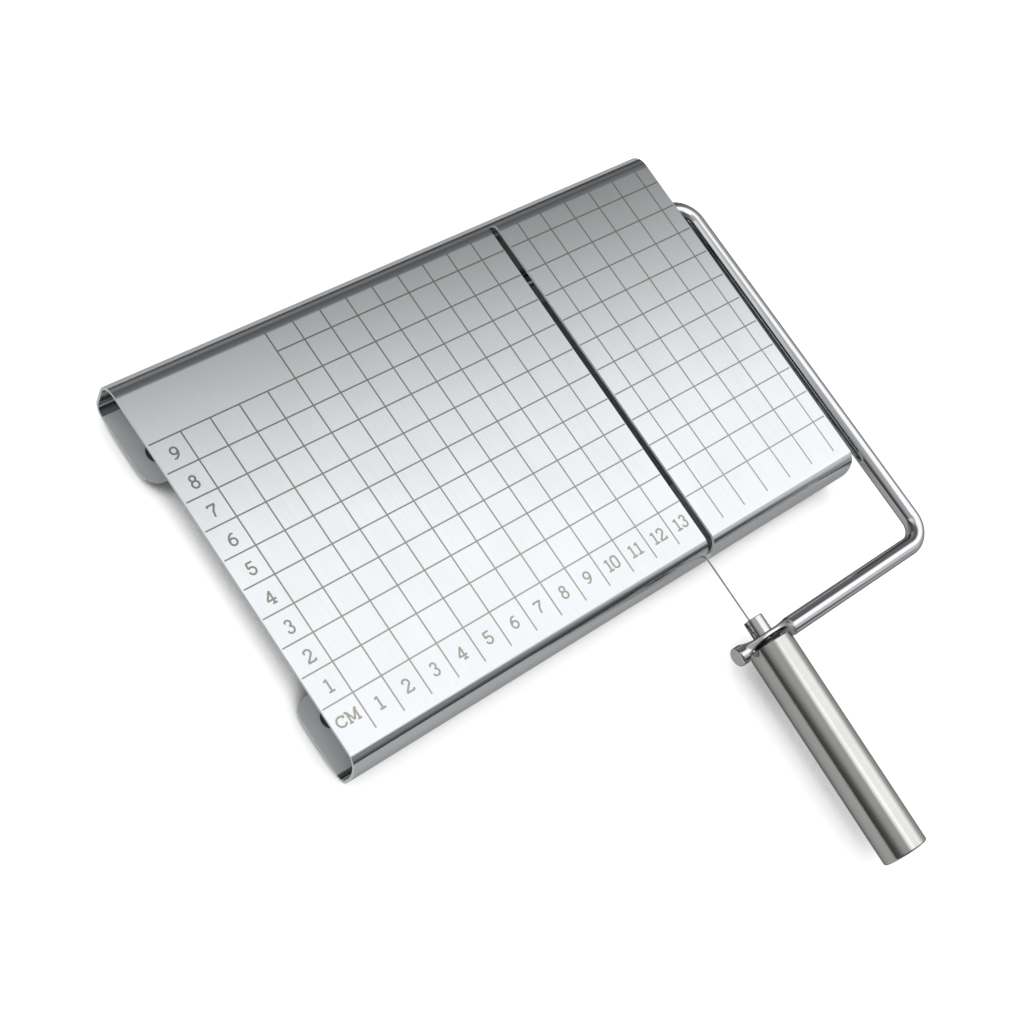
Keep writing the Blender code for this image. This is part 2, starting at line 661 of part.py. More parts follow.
def main():
    """Build the slicer in its rest position, with the wire lying in the slot's lower end."""
    clear_scene()
    sheet_steel = make_material("sheet_steel", (0.72, 0.73, 0.73), 0.28, 1)
    chrome_rod = make_material("chrome_rod", (0.80, 0.80, 0.82), 0.08, 1)
    satin_steel = make_material("satin_steel", (0.66, 0.66, 0.63), 0.25, 1)
    stud_steel = make_material("stud_steel", (0.74, 0.74, 0.74), 0.16, 1)
    strap_steel = make_material("strap_steel", (0.60, 0.60, 0.60), 0.40, 1)
    spring_steel = make_material("spring_steel", (0.32, 0.32, 0.33), 0.35, 1)
    wire_steel = make_material("wire_steel", (0.50, 0.50, 0.50), 0.30, 1)
    black_rubber = make_material("black_rubber", (0.03, 0.03, 0.03), 0.70, 0)
    black_nylon = make_material("black_nylon", (0.03, 0.03, 0.03), 0.45, 0)
    white_nylon = make_material("white_nylon", (0.80, 0.79, 0.75), 0.45, 0)

    layout = make_empty("layout", location=LAYOUT_SHIFT)
    build_board(layout, sheet_steel)
    build_feet(layout, black_rubber)
    build_saddles(layout, strap_steel)
    build_sleeves(layout, white_nylon)

    pivot = make_empty("swing_pivot", layout, (0, PIVOT_Y, -PIVOT_DROP))
    eyelet_centre = Vector((SLOT_X, -SWING_RADIUS, 0))
    handle_axis = make_empty("handle_axis", pivot, eyelet_centre, ALONG_HANDLE)
    outwards = Vector((-math.sin(HANDLE_LEAN), -math.cos(HANDLE_LEAN), 0))
    sideways = Vector((math.cos(HANDLE_LEAN), -math.sin(HANDLE_LEAN), 0))
    wire_start = Vector((SLOT_X, 0, 0))
    wire_end = eyelet_centre + outwards * FERRULE_FRONT_S - sideways * WIRE_SIDE_SET
    run = wire_end - wire_start
    wire_axis = make_empty("wire_axis", pivot, wire_start, run.to_track_quat("Z", "Y").to_euler())

    build_rings(pivot, spring_steel)
    build_frame(pivot, handle_axis, wire_axis, chrome_rod)
    build_wire(wire_axis, run.length, wire_steel, stud_steel)
    build_stud(handle_axis, stud_steel)
    build_washer(handle_axis, black_nylon)
    build_handle(handle_axis, satin_steel, strap_steel)


main()
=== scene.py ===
"""Looks of a wire butter slicer, modelled around its fixed frame.

Lengths are in metres in the frame's own axes: X along the board, Y to the rear, Z up. Most places are
read from the frame's nodes and joints. Sizes that no node states are named beside the piece they shape.
"""

import json
import logging
import math
from collections.abc import Sequence
from dataclasses import dataclass, field
from enum import Enum

import bmesh
import bpy
from mathutils import Matrix, Vector


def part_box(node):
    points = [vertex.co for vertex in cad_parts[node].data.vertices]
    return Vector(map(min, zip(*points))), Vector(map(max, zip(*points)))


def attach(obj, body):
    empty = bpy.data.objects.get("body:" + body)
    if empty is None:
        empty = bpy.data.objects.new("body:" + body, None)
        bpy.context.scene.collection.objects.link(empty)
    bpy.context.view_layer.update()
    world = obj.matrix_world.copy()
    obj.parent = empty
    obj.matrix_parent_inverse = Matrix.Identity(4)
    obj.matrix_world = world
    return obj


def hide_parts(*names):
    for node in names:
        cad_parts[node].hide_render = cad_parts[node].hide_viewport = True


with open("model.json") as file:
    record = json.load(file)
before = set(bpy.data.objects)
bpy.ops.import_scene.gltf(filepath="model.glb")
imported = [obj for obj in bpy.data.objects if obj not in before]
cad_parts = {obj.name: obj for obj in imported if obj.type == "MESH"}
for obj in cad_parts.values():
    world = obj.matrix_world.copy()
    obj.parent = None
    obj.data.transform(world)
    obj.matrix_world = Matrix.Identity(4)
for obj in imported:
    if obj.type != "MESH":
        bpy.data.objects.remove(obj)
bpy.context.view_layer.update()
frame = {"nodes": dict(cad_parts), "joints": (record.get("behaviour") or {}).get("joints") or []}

logging.basicConfig(level=logging.INFO, format="%(message)s")
log = logging.getLogger("slicer")

MM = 0.001
X_AXIS = Vector((1, 0, 0))
Y_AXIS = Vector((0, 1, 0))
Z_AXIS = Vector((0, 0, 1))
SHARP_ANGLE = math.radians(35)
RIM_ANGLE = math.radians(50)
WELD_DISTANCE = 0.0005 * MM
STROKE_STEP = 0.002 * MM
SIDES = ("inner", "outer")

Colour = tuple[float, float, float]
Shape = bmesh.types.BMesh
Socket = bpy.types.NodeSocket
Bend = tuple[float, float]
Edges = tuple[float, float, float, float]
NOISE_MIDDLE = (0.3, 0.7)


class Body(Enum):
    """The moving bodies of the slicer."""

    BOARD = "board"
    FRAME = "frame"
    STUD = "stud"
    HANDLE = "handle"


@dataclass(frozen=True)
class Reach:
    """How far a node reaches along an axis and out from it."""

    low: float
    high: float
    radius: float


def measure(node: str, origin: Vector, axis: Vector) -> Reach:
    """Measure a node of the frame about an axis.

    Args:
        node: Name of the node.
        origin: A point on the axis.
        axis: Direction of the axis, of length one.

    Returns:
        The lowest and highest place along the axis and the largest distance from it.
    """
    offsets = [vertex.co - origin for vertex in frame["nodes"][node].data.vertices]
    places = [offset.dot(axis) for offset in offsets]
    radius = max((offset - axis * place).length for offset, place in zip(offsets, places))
    return Reach(min(places), max(places), radius)


def joint_place(name: str) -> tuple[Vector, Vector]:
    """Read a joint from the frame.

    Args:
        name: Name of the joint.

    Returns:
        A point on the joint's axis and the axis's direction.
    """
    joint = next(item for item in frame["joints"] if item["name"] == name)
    return Vector(joint["pos_m"]), Vector(joint["axis"]).normalized()


@dataclass(frozen=True)
class Layout:
    """Main places of the slicer, read from the frame."""

    corner: Vector
    length: float
    depth: float
    height: float
    pivot: Vector
    eyelet: Vector
    outwards: Vector

    @classmethod
    def read(cls) -> "Layout":
        """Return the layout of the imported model."""
        low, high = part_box("board_sheet")
        pivot, _ = joint_place("frame_hinge")
        eyelet, outwards = joint_place("handle_turn")
        size = high - low
        return cls(Vector((low.x, low.y, high.z)), size.x, size.y, size.z, pivot, eyelet, outwards)

    @property
    def sideways(self) -> Vector:
        """Direction across the handle, towards the board's right end."""
        return self.outwards.cross(Z_AXIS).normalized() * -1

    def at(self, x: float, y: float, z: float = 0.0) -> Vector:
        """Return the place that lies so far from the board's front left corner."""
        return self.corner + Vector((x, y, z))

    def handle_matrix(self) -> Matrix:
        """Return the matrix that stands local Z along the handle and local X to the right."""
        return axes_matrix(self.eyelet, self.sideways, self.outwards)


def axes_matrix(origin: Vector, side: Vector, forward: Vector) -> Matrix:
    """Build a placing matrix.

    Args:
        origin: Where the local origin goes.
        side: Where local X points.
        forward: Where local Z points.

    Returns:
        A rotation and translation without scale.
    """
    across = forward.cross(side)
    turned = Matrix((side, across, forward)).transposed().to_4x4()
    return Matrix.Translation(origin) @ turned


class NodeTree:
    """A shader node tree with short calls for the nodes that several surfaces use."""

    def __init__(self, tree: bpy.types.ShaderNodeTree) -> None:
        """Take over a tree and empty it.

        Args:
            tree: The node tree.
        """
        self.tree = tree
        self.tree.nodes.clear()

    def add(self, kind: str) -> bpy.types.Node:
        """Add a node of a kind and return it."""
        return self.tree.nodes.new(f"ShaderNode{kind}")

    def link(self, source: Socket, target: Socket) -> None:
        """Link one socket to another."""
        self.tree.links.new(source, target)

    def calculate(
        self, operation: str, first: Socket, second: Socket | float
    ) -> Socket:
        """Add a sum of two values.

        Args:
            operation: Name of the operation.
            first: Socket of the first value.
            second: Socket of the second value, or the value itself.

        Returns:
            The result's socket.
        """
        node = self.add("Math")
        node.operation = operation
        self.link(first, node.inputs[0])
        if isinstance(second, Socket):
            self.link(second, node.inputs[1])
        else:
            node.inputs[1].default_value = second
        return node.outputs["Value"]

    def patch(self, angle: Socket, edges: Edges) -> Socket:
        """Find how far an angle lies inside a patch with soft edges.

        Args:
            angle: Socket of the angle in radians, from minus to plus a right angle.
            edges: Degrees at which the patch starts, is full, is still full and ends.

        Returns:
            The share's socket, one inside the patch and nought outside.
        """
        place = self.calculate("ADD", self.calculate("DIVIDE", angle, math.pi), 0.5)
        ramp = self.add("ValToRGB")
        ramp.color_ramp.interpolation = "EASE"
        marks = ramp.color_ramp.elements
        while len(marks) < len(edges):
            marks.new(0.5)
        for mark, turn, level in zip(marks, edges, (0, 1, 1, 0)):
            mark.position = turn / 180 + 0.5
            mark.color = (level, level, level, 1)
        self.link(place, ramp.inputs["Fac"])
        return ramp.outputs["Color"]

    def remap(
        self,
        source: Socket,
        start: float,
        end: float,
        low: float = 0.0,
        high: float = 1.0,
        soft: bool = False,
    ) -> Socket:
        """Map a stretch of a value to another stretch.

        Args:
            source: Socket of the value.
            start: Value at which the result is low.
            end: Value at which it is high.
            low: The result at the start.
            high: The result at the end.
            soft: Whether the change eases in and out.

        Returns:
            The result's socket.
        """
        node = self.add("MapRange")
        node.interpolation_type = "SMOOTHSTEP" if soft else "LINEAR"
        for name, value in (("From Min", start), ("From Max", end), ("To Min", low), ("To Max", high)):
            node.inputs[name].default_value = value
        self.link(source, node.inputs["Value"])
        return node.outputs["Result"]


class Graph(NodeTree):
    """A material's node tree around one Principled shader."""

    def __init__(self, name: str) -> None:
        """Start an empty tree.

        Args:
            name: Name of the material.
        """
        self.material = bpy.data.materials.new(name)
        self.material.use_nodes = True
        super().__init__(self.material.node_tree)
        self.shader = self.add("BsdfPrincipled")
        self.output = self.add("OutputMaterial")
        self.link(self.shader.outputs["BSDF"], self.output.inputs["Surface"])

    def coordinates(self, scale: Sequence[float], turn: float = 0.0) -> Socket:
        """Add scaled object coordinates.

        Args:
            scale: Cells per metre along each axis.
            turn: Angle about Z by which the pattern is turned.

        Returns:
            The vector socket.
        """
        source = self.add("TexCoord")
        turned = self.add("Mapping")
        turned.inputs["Rotation"].default_value = (0, 0, turn)
        scaled = self.add("Mapping")
        scaled.inputs["Scale"].default_value = scale
        self.link(source.outputs["Object"], turned.inputs["Vector"])
        self.link(turned.outputs["Vector"], scaled.inputs["Vector"])
        return scaled.outputs["Vector"]

    def noise(self, scale: Sequence[float], detail: float = 3, turn: float = 0.0) -> Socket:
        """Add a noise pattern.

        Args:
            scale: Cells per metre along each axis.
            detail: Number of finer layers.
            turn: Angle about Z by which the pattern is turned.

        Returns:
            The factor socket.
        """
        node = self.add("TexNoise")
        node.inputs["Scale"].default_value = 1
        node.inputs["Detail"].default_value = detail
        self.link(self.coordinates(scale, turn), node.inputs["Vector"])
        return node.outputs["Fac"]

    def spread(self, source: Socket, low: float, high: float) -> Socket:
        """Spread the middle of a noise pattern over a range.

        Args:
            source: Factor socket of a noise pattern.
            low: Value at the pattern's low places.
            high: Value at its high places.

        Returns:
            The value socket.
        """
        return self.remap(source, *NOISE_MIDDLE, low, high)

    def blend(self, factor: Socket, first: Colour, second: Colour) -> Socket:
        """Mix two colours by a factor.

        Args:
            factor: Factor socket.
            first: Colour at zero.
            second: Colour at one.

        Returns:
            The colour socket.
        """
        node = self.add("Mix")
        node.data_type = "RGBA"
        node.inputs["A"].default_value = (*first, 1)
        node.inputs["B"].default_value = (*second, 1)
        self.link(factor, node.inputs["Factor"])
        return node.outputs["Result"]

    def combine(self, first: Socket, second: Socket, share: float) -> Socket:
        """Add a share of one pattern to another.

        Args:
            first: Socket of the main pattern.
            second: Socket of the added pattern.
            share: Share of the second in the result.

        Returns:
            The combined socket.
        """
        node = self.add("Mix")
        node.inputs["Factor"].default_value = share
        self.link(first, node.inputs["A"])
        self.link(second, node.inputs["B"])
        return node.outputs["Result"]

    def bump(self, source: Socket, depth: float, strength: float = 1.0) -> None:
        """Let a pattern raise the surface.

        Args:
            source: Height socket.
            depth: Height of the pattern in metres.
            strength: How strongly it tilts the surface.
        """
        node = self.add("Bump")
        node.inputs["Distance"].default_value = depth
        node.inputs["Strength"].default_value = strength
        self.link(source, node.inputs["Height"])
        self.link(node.outputs["Normal"], self.shader.inputs["Normal"])

    def connect(self, source: Socket, name: str) -> None:
        """Feed a socket into a named input of the shader."""
        self.link(source, self.shader.inputs[name])


@dataclass(frozen=True)
class Metal:
    """A bare metal finish with grain, soft patches and small variations of polish."""

    name: str
    colour: Colour
    patch_colour: Colour
    roughness: tuple[float, float]
    grain: tuple[float, float, float]
    grain_depth: float
    grain_strength: float = 0.2
    turn: float = 0.0
    patches: float = 45.0
    edge_tint: float = 0.4
    metallic: float = 1.0

    def material(self) -> bpy.types.Material:
        """Return the finish as a material."""
        graph = Graph(self.name)
        graph.shader.inputs["Metallic"].default_value = self.metallic
        # Specular Tint below one darkens the reflection at grazing angles: painted shade along the
        # silhouettes.
        graph.shader.inputs["Specular Tint"].default_value = (*(self.edge_tint,) * 3, 1)
        patch = graph.noise((self.patches,) * 3, 2)
        grain = graph.noise(self.grain, 4, self.turn)
        mixed = graph.combine(patch, grain, 0.5)
        graph.connect(graph.blend(graph.spread(mixed, 0, 1), self.colour, self.patch_colour), "Base Color")
        graph.connect(graph.spread(mixed, *self.roughness), "Roughness")
        graph.bump(grain, self.grain_depth, self.grain_strength)
        return graph.material


@dataclass(frozen=True)
class Moulded:
    """A moulded plastic or rubber finish with fine texture and faint dusting."""

    name: str
    colour: Colour
    dust_colour: Colour
    roughness: tuple[float, float]
    texture: float
    texture_depth: float
    sheen: float = 0.0

    def material(self) -> bpy.types.Material:
        """Return the finish as a material."""
        graph = Graph(self.name)
        graph.shader.inputs["Sheen Weight"].default_value = self.sheen
        patch = graph.noise((self.texture / 12,) * 3, 3)
        fine = graph.noise((self.texture,) * 3, 2)
        graph.connect(graph.blend(graph.spread(patch, 0, 1), self.colour, self.dust_colour), "Base Color")
        graph.connect(graph.spread(patch, *self.roughness), "Roughness")
        graph.bump(fine, self.texture_depth, 0.4)
        return graph.material


@dataclass(frozen=True)
class Etch:
    """A laser mark on steel: a dull tan oxide that is broken up by the steel's grain.

    It gets darker towards the rear as painted shade, for the dimming of the marks there.
    """

    name: str
    colour: Colour
    worn_colour: Colour
    deep_colour: Colour
    metallic: float
    roughness: tuple[float, float]
    fade_from: float = 0.01
    fade_to: float = 0.13

    def material(self) -> bpy.types.Material:
        """Return the finish as a material."""
        graph = Graph(self.name)
        graph.shader.inputs["Metallic"].default_value = self.metallic
        speckle = graph.noise((900, 300, 900), 3)
        cloud = graph.noise((70, 70, 70), 2)
        mixed = graph.combine(cloud, speckle, 0.5)
        split = graph.add("SeparateXYZ")
        graph.link(graph.add("TexCoord").outputs["Object"], split.inputs["Vector"])
        # Painted shade: the colour darkens towards the rear.
        rearwards = graph.remap(split.outputs["Y"], self.fade_from, self.fade_to)
        shallow = graph.blend(graph.spread(mixed, 0, 1), self.colour, self.worn_colour)
        colour = graph.blend(rearwards, self.colour, self.deep_colour)
        graph.link(shallow, colour.node.inputs["A"])
        graph.connect(colour, "Base Color")
        graph.connect(graph.spread(speckle, *self.roughness), "Roughness")
        graph.bump(speckle, 0.01 * MM, 0.3)
        return graph.material


SHEET_STEEL = Metal(
    "brushed_sheet", (0.755, 0.77, 0.785), (0.715, 0.73, 0.74), (0.11, 0.16), (2200, 60, 2200), 0.004 * MM,
    edge_tint=0.9,
)
# Mill side of the sheet: its colour is lightened as painted light against the shade under the board. It
# dresses the flange tops inside and the cut ends.
MILL_SIDE_PAINTED_LIGHT = Metal(
    "mill_side_painted_light", (0.88, 0.9, 0.895), (0.82, 0.84, 0.835), (0.5, 0.6), (900, 90, 900), 0.006 * MM, 0.2,
    metallic=0.2,
)
# Its low rim shade tint paints dark outlines along the rod's silhouettes.
BRIGHT_ROD = Metal(
    "bright_rod", (0.78, 0.78, 0.79), (0.74, 0.74, 0.75), (0.05, 0.09), (160, 160, 160), 0.004 * MM, 0.12,
    edge_tint=0.1,
)
SATIN_TUBE = Metal(
    "satin_tube", (0.67, 0.665, 0.64), (0.61, 0.605, 0.58), (0.15, 0.22), (60, 3200, 60), 0.006 * MM, 0.22
)
TURNED_STEEL = Metal(
    "turned_steel", (0.76, 0.76, 0.755), (0.70, 0.70, 0.69), (0.13, 0.22), (150, 3000, 150), 0.005 * MM, 0.2
)
STRAP_STEEL = Metal(
    "strap_steel", (0.60, 0.60, 0.59), (0.50, 0.50, 0.49), (0.34, 0.48), (1500, 90, 1500), 0.01 * MM, 0.3
)
SPRING_STEEL = Metal(
    "spring_steel", (0.30, 0.30, 0.31), (0.22, 0.22, 0.22), (0.30, 0.42), (900, 900, 900), 0.006 * MM, 0.25
)
DRAWN_WIRE = Metal(
    "drawn_wire", (0.52, 0.52, 0.515), (0.42, 0.42, 0.41), (0.24, 0.34), (4000, 150, 4000), 0.005 * MM, 0.25
)
BLACK_RUBBER = Moulded(
    "black_rubber", (0.022, 0.022, 0.023), (0.045, 0.045, 0.045), (0.62, 0.8), 1800, 0.02 * MM, 0.1
)
BLACK_NYLON = Moulded("black_nylon", (0.02, 0.02, 0.021), (0.035, 0.035, 0.035), (0.38, 0.5), 1200, 0.01 * MM)
WHITE_NYLON = Moulded("white_nylon", (0.80, 0.79, 0.75), (0.74, 0.73, 0.68), (0.40, 0.52), 900, 0.01 * MM)
# The third colour is the painted shade at the rear of the marks.
ETCHED_MARK = Etch(
    "etched_mark", (0.44, 0.415, 0.355), (0.5, 0.475, 0.415), (0.16, 0.16, 0.14), 0.7, (0.34, 0.44)
)
HEAT_TINT = Metal(
    "weld_tint", (0.42, 0.36, 0.28), (0.30, 0.29, 0.33), (0.36, 0.5), (700, 700, 700), 0.01 * MM, 0.3,
    patches=400,
)

Finish = Metal | Moulded | Etch


class Workshop:
    """Turns shapes into dressed pieces and keeps one material for each finish."""

    def __init__(self) -> None:
        """Start with no materials made."""
        self.materials: dict[str, bpy.types.Material] = {}

    def dressed(self, finish: Finish) -> bpy.types.Material:
        """Return the material of a finish, made once."""
        if finish.name not in self.materials:
            self.materials[finish.name] = finish.material()
        return self.materials[finish.name]

    def piece(
        self,
        name: str,
        shape: Shape,
        finish: Finish,
        body: Body,
        slot: str | None = None,
        stands_for: Sequence[str] = (),
        cutters: Sequence[Shape] = (),
        second: Finish | None = None,
    ) -> bpy.types.Object:
        """Make a named piece from a shape.

        Args:
            name: Name of the piece.
            shape: Its shape in place, which is freed.
            finish: Its finish.
            body: The body that it moves with.
            slot: Material slot of the record; not used.
            stands_for: Nodes of the frame that it replaces.
            cutters: Shapes that are cut out of it, which are freed.
            second: Finish of the faces that carry the second material.

        Returns:
            The finished object.
        """
        piece = self.plain_object(name, shape)
        piece.data.materials.append(self.dressed(finish))
        if second:
            piece.data.materials.append(self.dressed(second))
        if cutters:
            self.carve(piece, cutters)
        piece.data.shade_smooth()
        piece.data.set_sharp_from_angle(angle=SHARP_ANGLE)
        flatten = piece.modifiers.new("flat_faces", "WEIGHTED_NORMAL")
        flatten.mode = "FACE_AREA"
        flatten.keep_sharp = True
        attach(piece, body.value)
        if stands_for:
            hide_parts(*stands_for)
        log.info("%s: %d faces, rides on %s", name, len(piece.data.polygons), body.value)
        return piece

    def plain_object(self, name: str, shape: Shape) -> bpy.types.Object:
        """Close a shape's seams and link it as an object.

        Args:
            name: Name of the object.
            shape: Its shape, which is freed.

        Returns:
            The object, without material.
        """
        bmesh.ops.remove_doubles(shape, verts=shape.verts, dist=WELD_DISTANCE)
        bmesh.ops.recalc_face_normals(shape, faces=shape.faces)
        mesh = bpy.data.meshes.new(name)
        shape.to_mesh(mesh)
        shape.free()
        item = bpy.data.objects.new(name, mesh)
        bpy.context.scene.collection.objects.link(item)
        return item

    def carve(self, piece: bpy.types.Object, cutters: Sequence[Shape]) -> None:
        """Cut shapes out of a piece and keep the result as its mesh.

        Args:
            piece: The piece to cut.
            cutters: Closed shapes, which are freed.
        """
        helpers = [self.plain_object(f"cutter_{index}", shape) for index, shape in enumerate(cutters)]
        for helper in helpers:
            cut = piece.modifiers.new(helper.name, "BOOLEAN")
            cut.operation = "DIFFERENCE"
            cut.solver = "EXACT"
            cut.object = helper
        graph = bpy.context.evaluated_depsgraph_get()
        carved = bpy.data.meshes.new_from_object(piece.evaluated_get(graph))
        piece.modifiers.clear()
        piece.data = carved
        for helper in helpers:
            bpy.data.objects.remove(helper, do_unlink=True)


def round_edges(shape: Shape, edges: Sequence[bmesh.types.BMEdge], radius: float, steps: int) -> None:
    """Round some edges of a shape.

    Args:
        shape: The shape.
        edges: Edges to round.
        radius: Width of the rounding.
        steps: Facets of the rounding.
    """
    bmesh.ops.bevel(
        shape, geom=edges, offset=radius, offset_type="OFFSET", segments=steps, profile=0.5,
        affect="EDGES", material=-1, clamp_overlap=False,
    )


def soften(shape: Shape, width: float, segments: int = 2, angle: float = RIM_ANGLE) -> None:
    """Round the edges that are sharper than an angle.

    Args:
        shape: The shape.
        width: Width of the rounding.
        segments: Steps of the rounding.
        angle: Edges that turn by less are left.
    """
    bmesh.ops.remove_doubles(shape, verts=shape.verts, dist=WELD_DISTANCE)
    bmesh.ops.recalc_face_normals(shape, faces=shape.faces)
    rims = [edge for edge in shape.edges if edge.is_manifold and edge.calc_face_angle() > angle]
    round_edges(shape, rims, width, segments)


def turned(profile: Sequence[tuple[float, float]], steps: int = 72) -> Shape:
    """Spin a profile about Z.

    Args:
        profile: Points as (radius, height). A closed profile ends on its first point.
        steps: Facets of the full turn.

    Returns:
        The turned shape.
    """
    shape = bmesh.new()
    points = [shape.verts.new((radius, 0, height)) for radius, height in profile]
    edges = [shape.edges.new(pair) for pair in zip(points, points[1:])]
    bmesh.ops.spin(
        shape, geom=points + edges, cent=(0, 0, 0), axis=(0, 0, 1), angle=math.tau, steps=steps,
        use_merge=True,
    )
    bmesh.ops.remove_doubles(shape, verts=shape.verts, dist=WELD_DISTANCE)
    return shape


def ring(bore: float, reach: Reach, steps: int = 64) -> Shape:
    """Turn a plain ring that fills a reach.

    Args:
        bore: Radius of the hole.
        reach: Where the ring starts and ends, and its radius.
        steps: Facets of the full turn.

    Returns:
        The ring about Z.
    """
    outer, low, high = reach.radius, reach.low, reach.high
    return turned([(bore, low), (outer, low), (outer, high), (bore, high), (bore, low)], steps)


def placed(shape: Shape, matrix: Matrix) -> Shape:
    """Move a shape by a matrix and return it."""
    bmesh.ops.transform(shape, matrix=matrix, verts=shape.verts)
    return shape


def add_block(shape: Shape, low: Vector, high: Vector) -> list[bmesh.types.BMVert]:
    """Add a block to a shape.

    Args:
        shape: The shape that grows.
        low: Lowest corner.
        high: Highest corner.

    Returns:
        The block's vertices.
    """
    size = high - low
    matrix = Matrix.Translation((low + high) / 2) @ Matrix.Diagonal((*size, 1))
    return bmesh.ops.create_cube(shape, size=1, matrix=matrix)["verts"]


def edges_beyond(shape: Shape, axis: Vector, limit: float) -> list[bmesh.types.BMEdge]:
    """Return the edges of a shape that lie wholly past a limit along an axis."""
    return [edge for edge in shape.edges if all(vertex.co.dot(axis) > limit for vertex in edge.verts)]


class SheetFolder:
    """Folds a strip of sheet by extruding and spinning its leading edge."""

    support = 0.3 * MM

    def __init__(self, left: float, right: float, start: Vector, heading: Vector) -> None:
        """Lay down the strip's first edge.

        Args:
            left: Lowest X of the strip.
            right: Highest X of the strip.
            start: Any point of the first edge.
            heading: Direction in which the strip starts, across X.
        """
        self.shape = bmesh.new()
        ends = [self.shape.verts.new((x, start.y, start.z)) for x in (left, right)]
        self.lead = [*ends, self.shape.edges.new(ends)]
        self.place = start.copy()
        self.heading = heading.copy()

    def step(self, distance: float) -> None:
        """Extrude the leading edge straight on by a distance."""
        grown = bmesh.ops.extrude_edge_only(self.shape, edges=[self.lead[-1]])["geom"]
        ends = [item for item in grown if isinstance(item, bmesh.types.BMVert)]
        bmesh.ops.translate(self.shape, verts=ends, vec=self.heading * distance)
        self.lead = [*ends, self.shape.edges.get(ends)]
        self.place += self.heading * distance

    def run(self, distance: float, after_bend: bool = True, before_bend: bool = True) -> None:
        """Run straight on, with a narrow band beside each bend that keeps the flat stretch's shading flat.

        Args:
            distance: Length of the stretch.
            after_bend: Whether a bend comes before it.
            before_bend: Whether a bend follows it.
        """
        bands = self.support * (after_bend + before_bend)
        if after_bend:
            self.step(self.support)
        self.step(distance - bands)
        if before_bend:
            self.step(self.support)

    def bend(self, radius: float, angle: float, steps: int = 24) -> None:
        """Bend the strip about X.

        Args:
            radius: Radius of this skin.
            angle: Signed angle of the bend.
            steps: Facets of the bend.
        """
        turn = Matrix.Rotation(angle, 3, "X")
        inwards = Matrix.Rotation(math.copysign(math.pi / 2, angle), 3, "X") @ self.heading
        centre = self.place + inwards * radius
        spun = bmesh.ops.spin(
            self.shape, geom=self.lead, cent=centre, axis=X_AXIS, angle=angle, steps=steps
        )["geom_last"]
        ends = [item for item in spun if isinstance(item, bmesh.types.BMVert)]
        self.lead = [*ends, self.shape.edges.get(ends)]
        self.place = centre + turn @ (self.place - centre)
        self.heading = turn @ self.heading


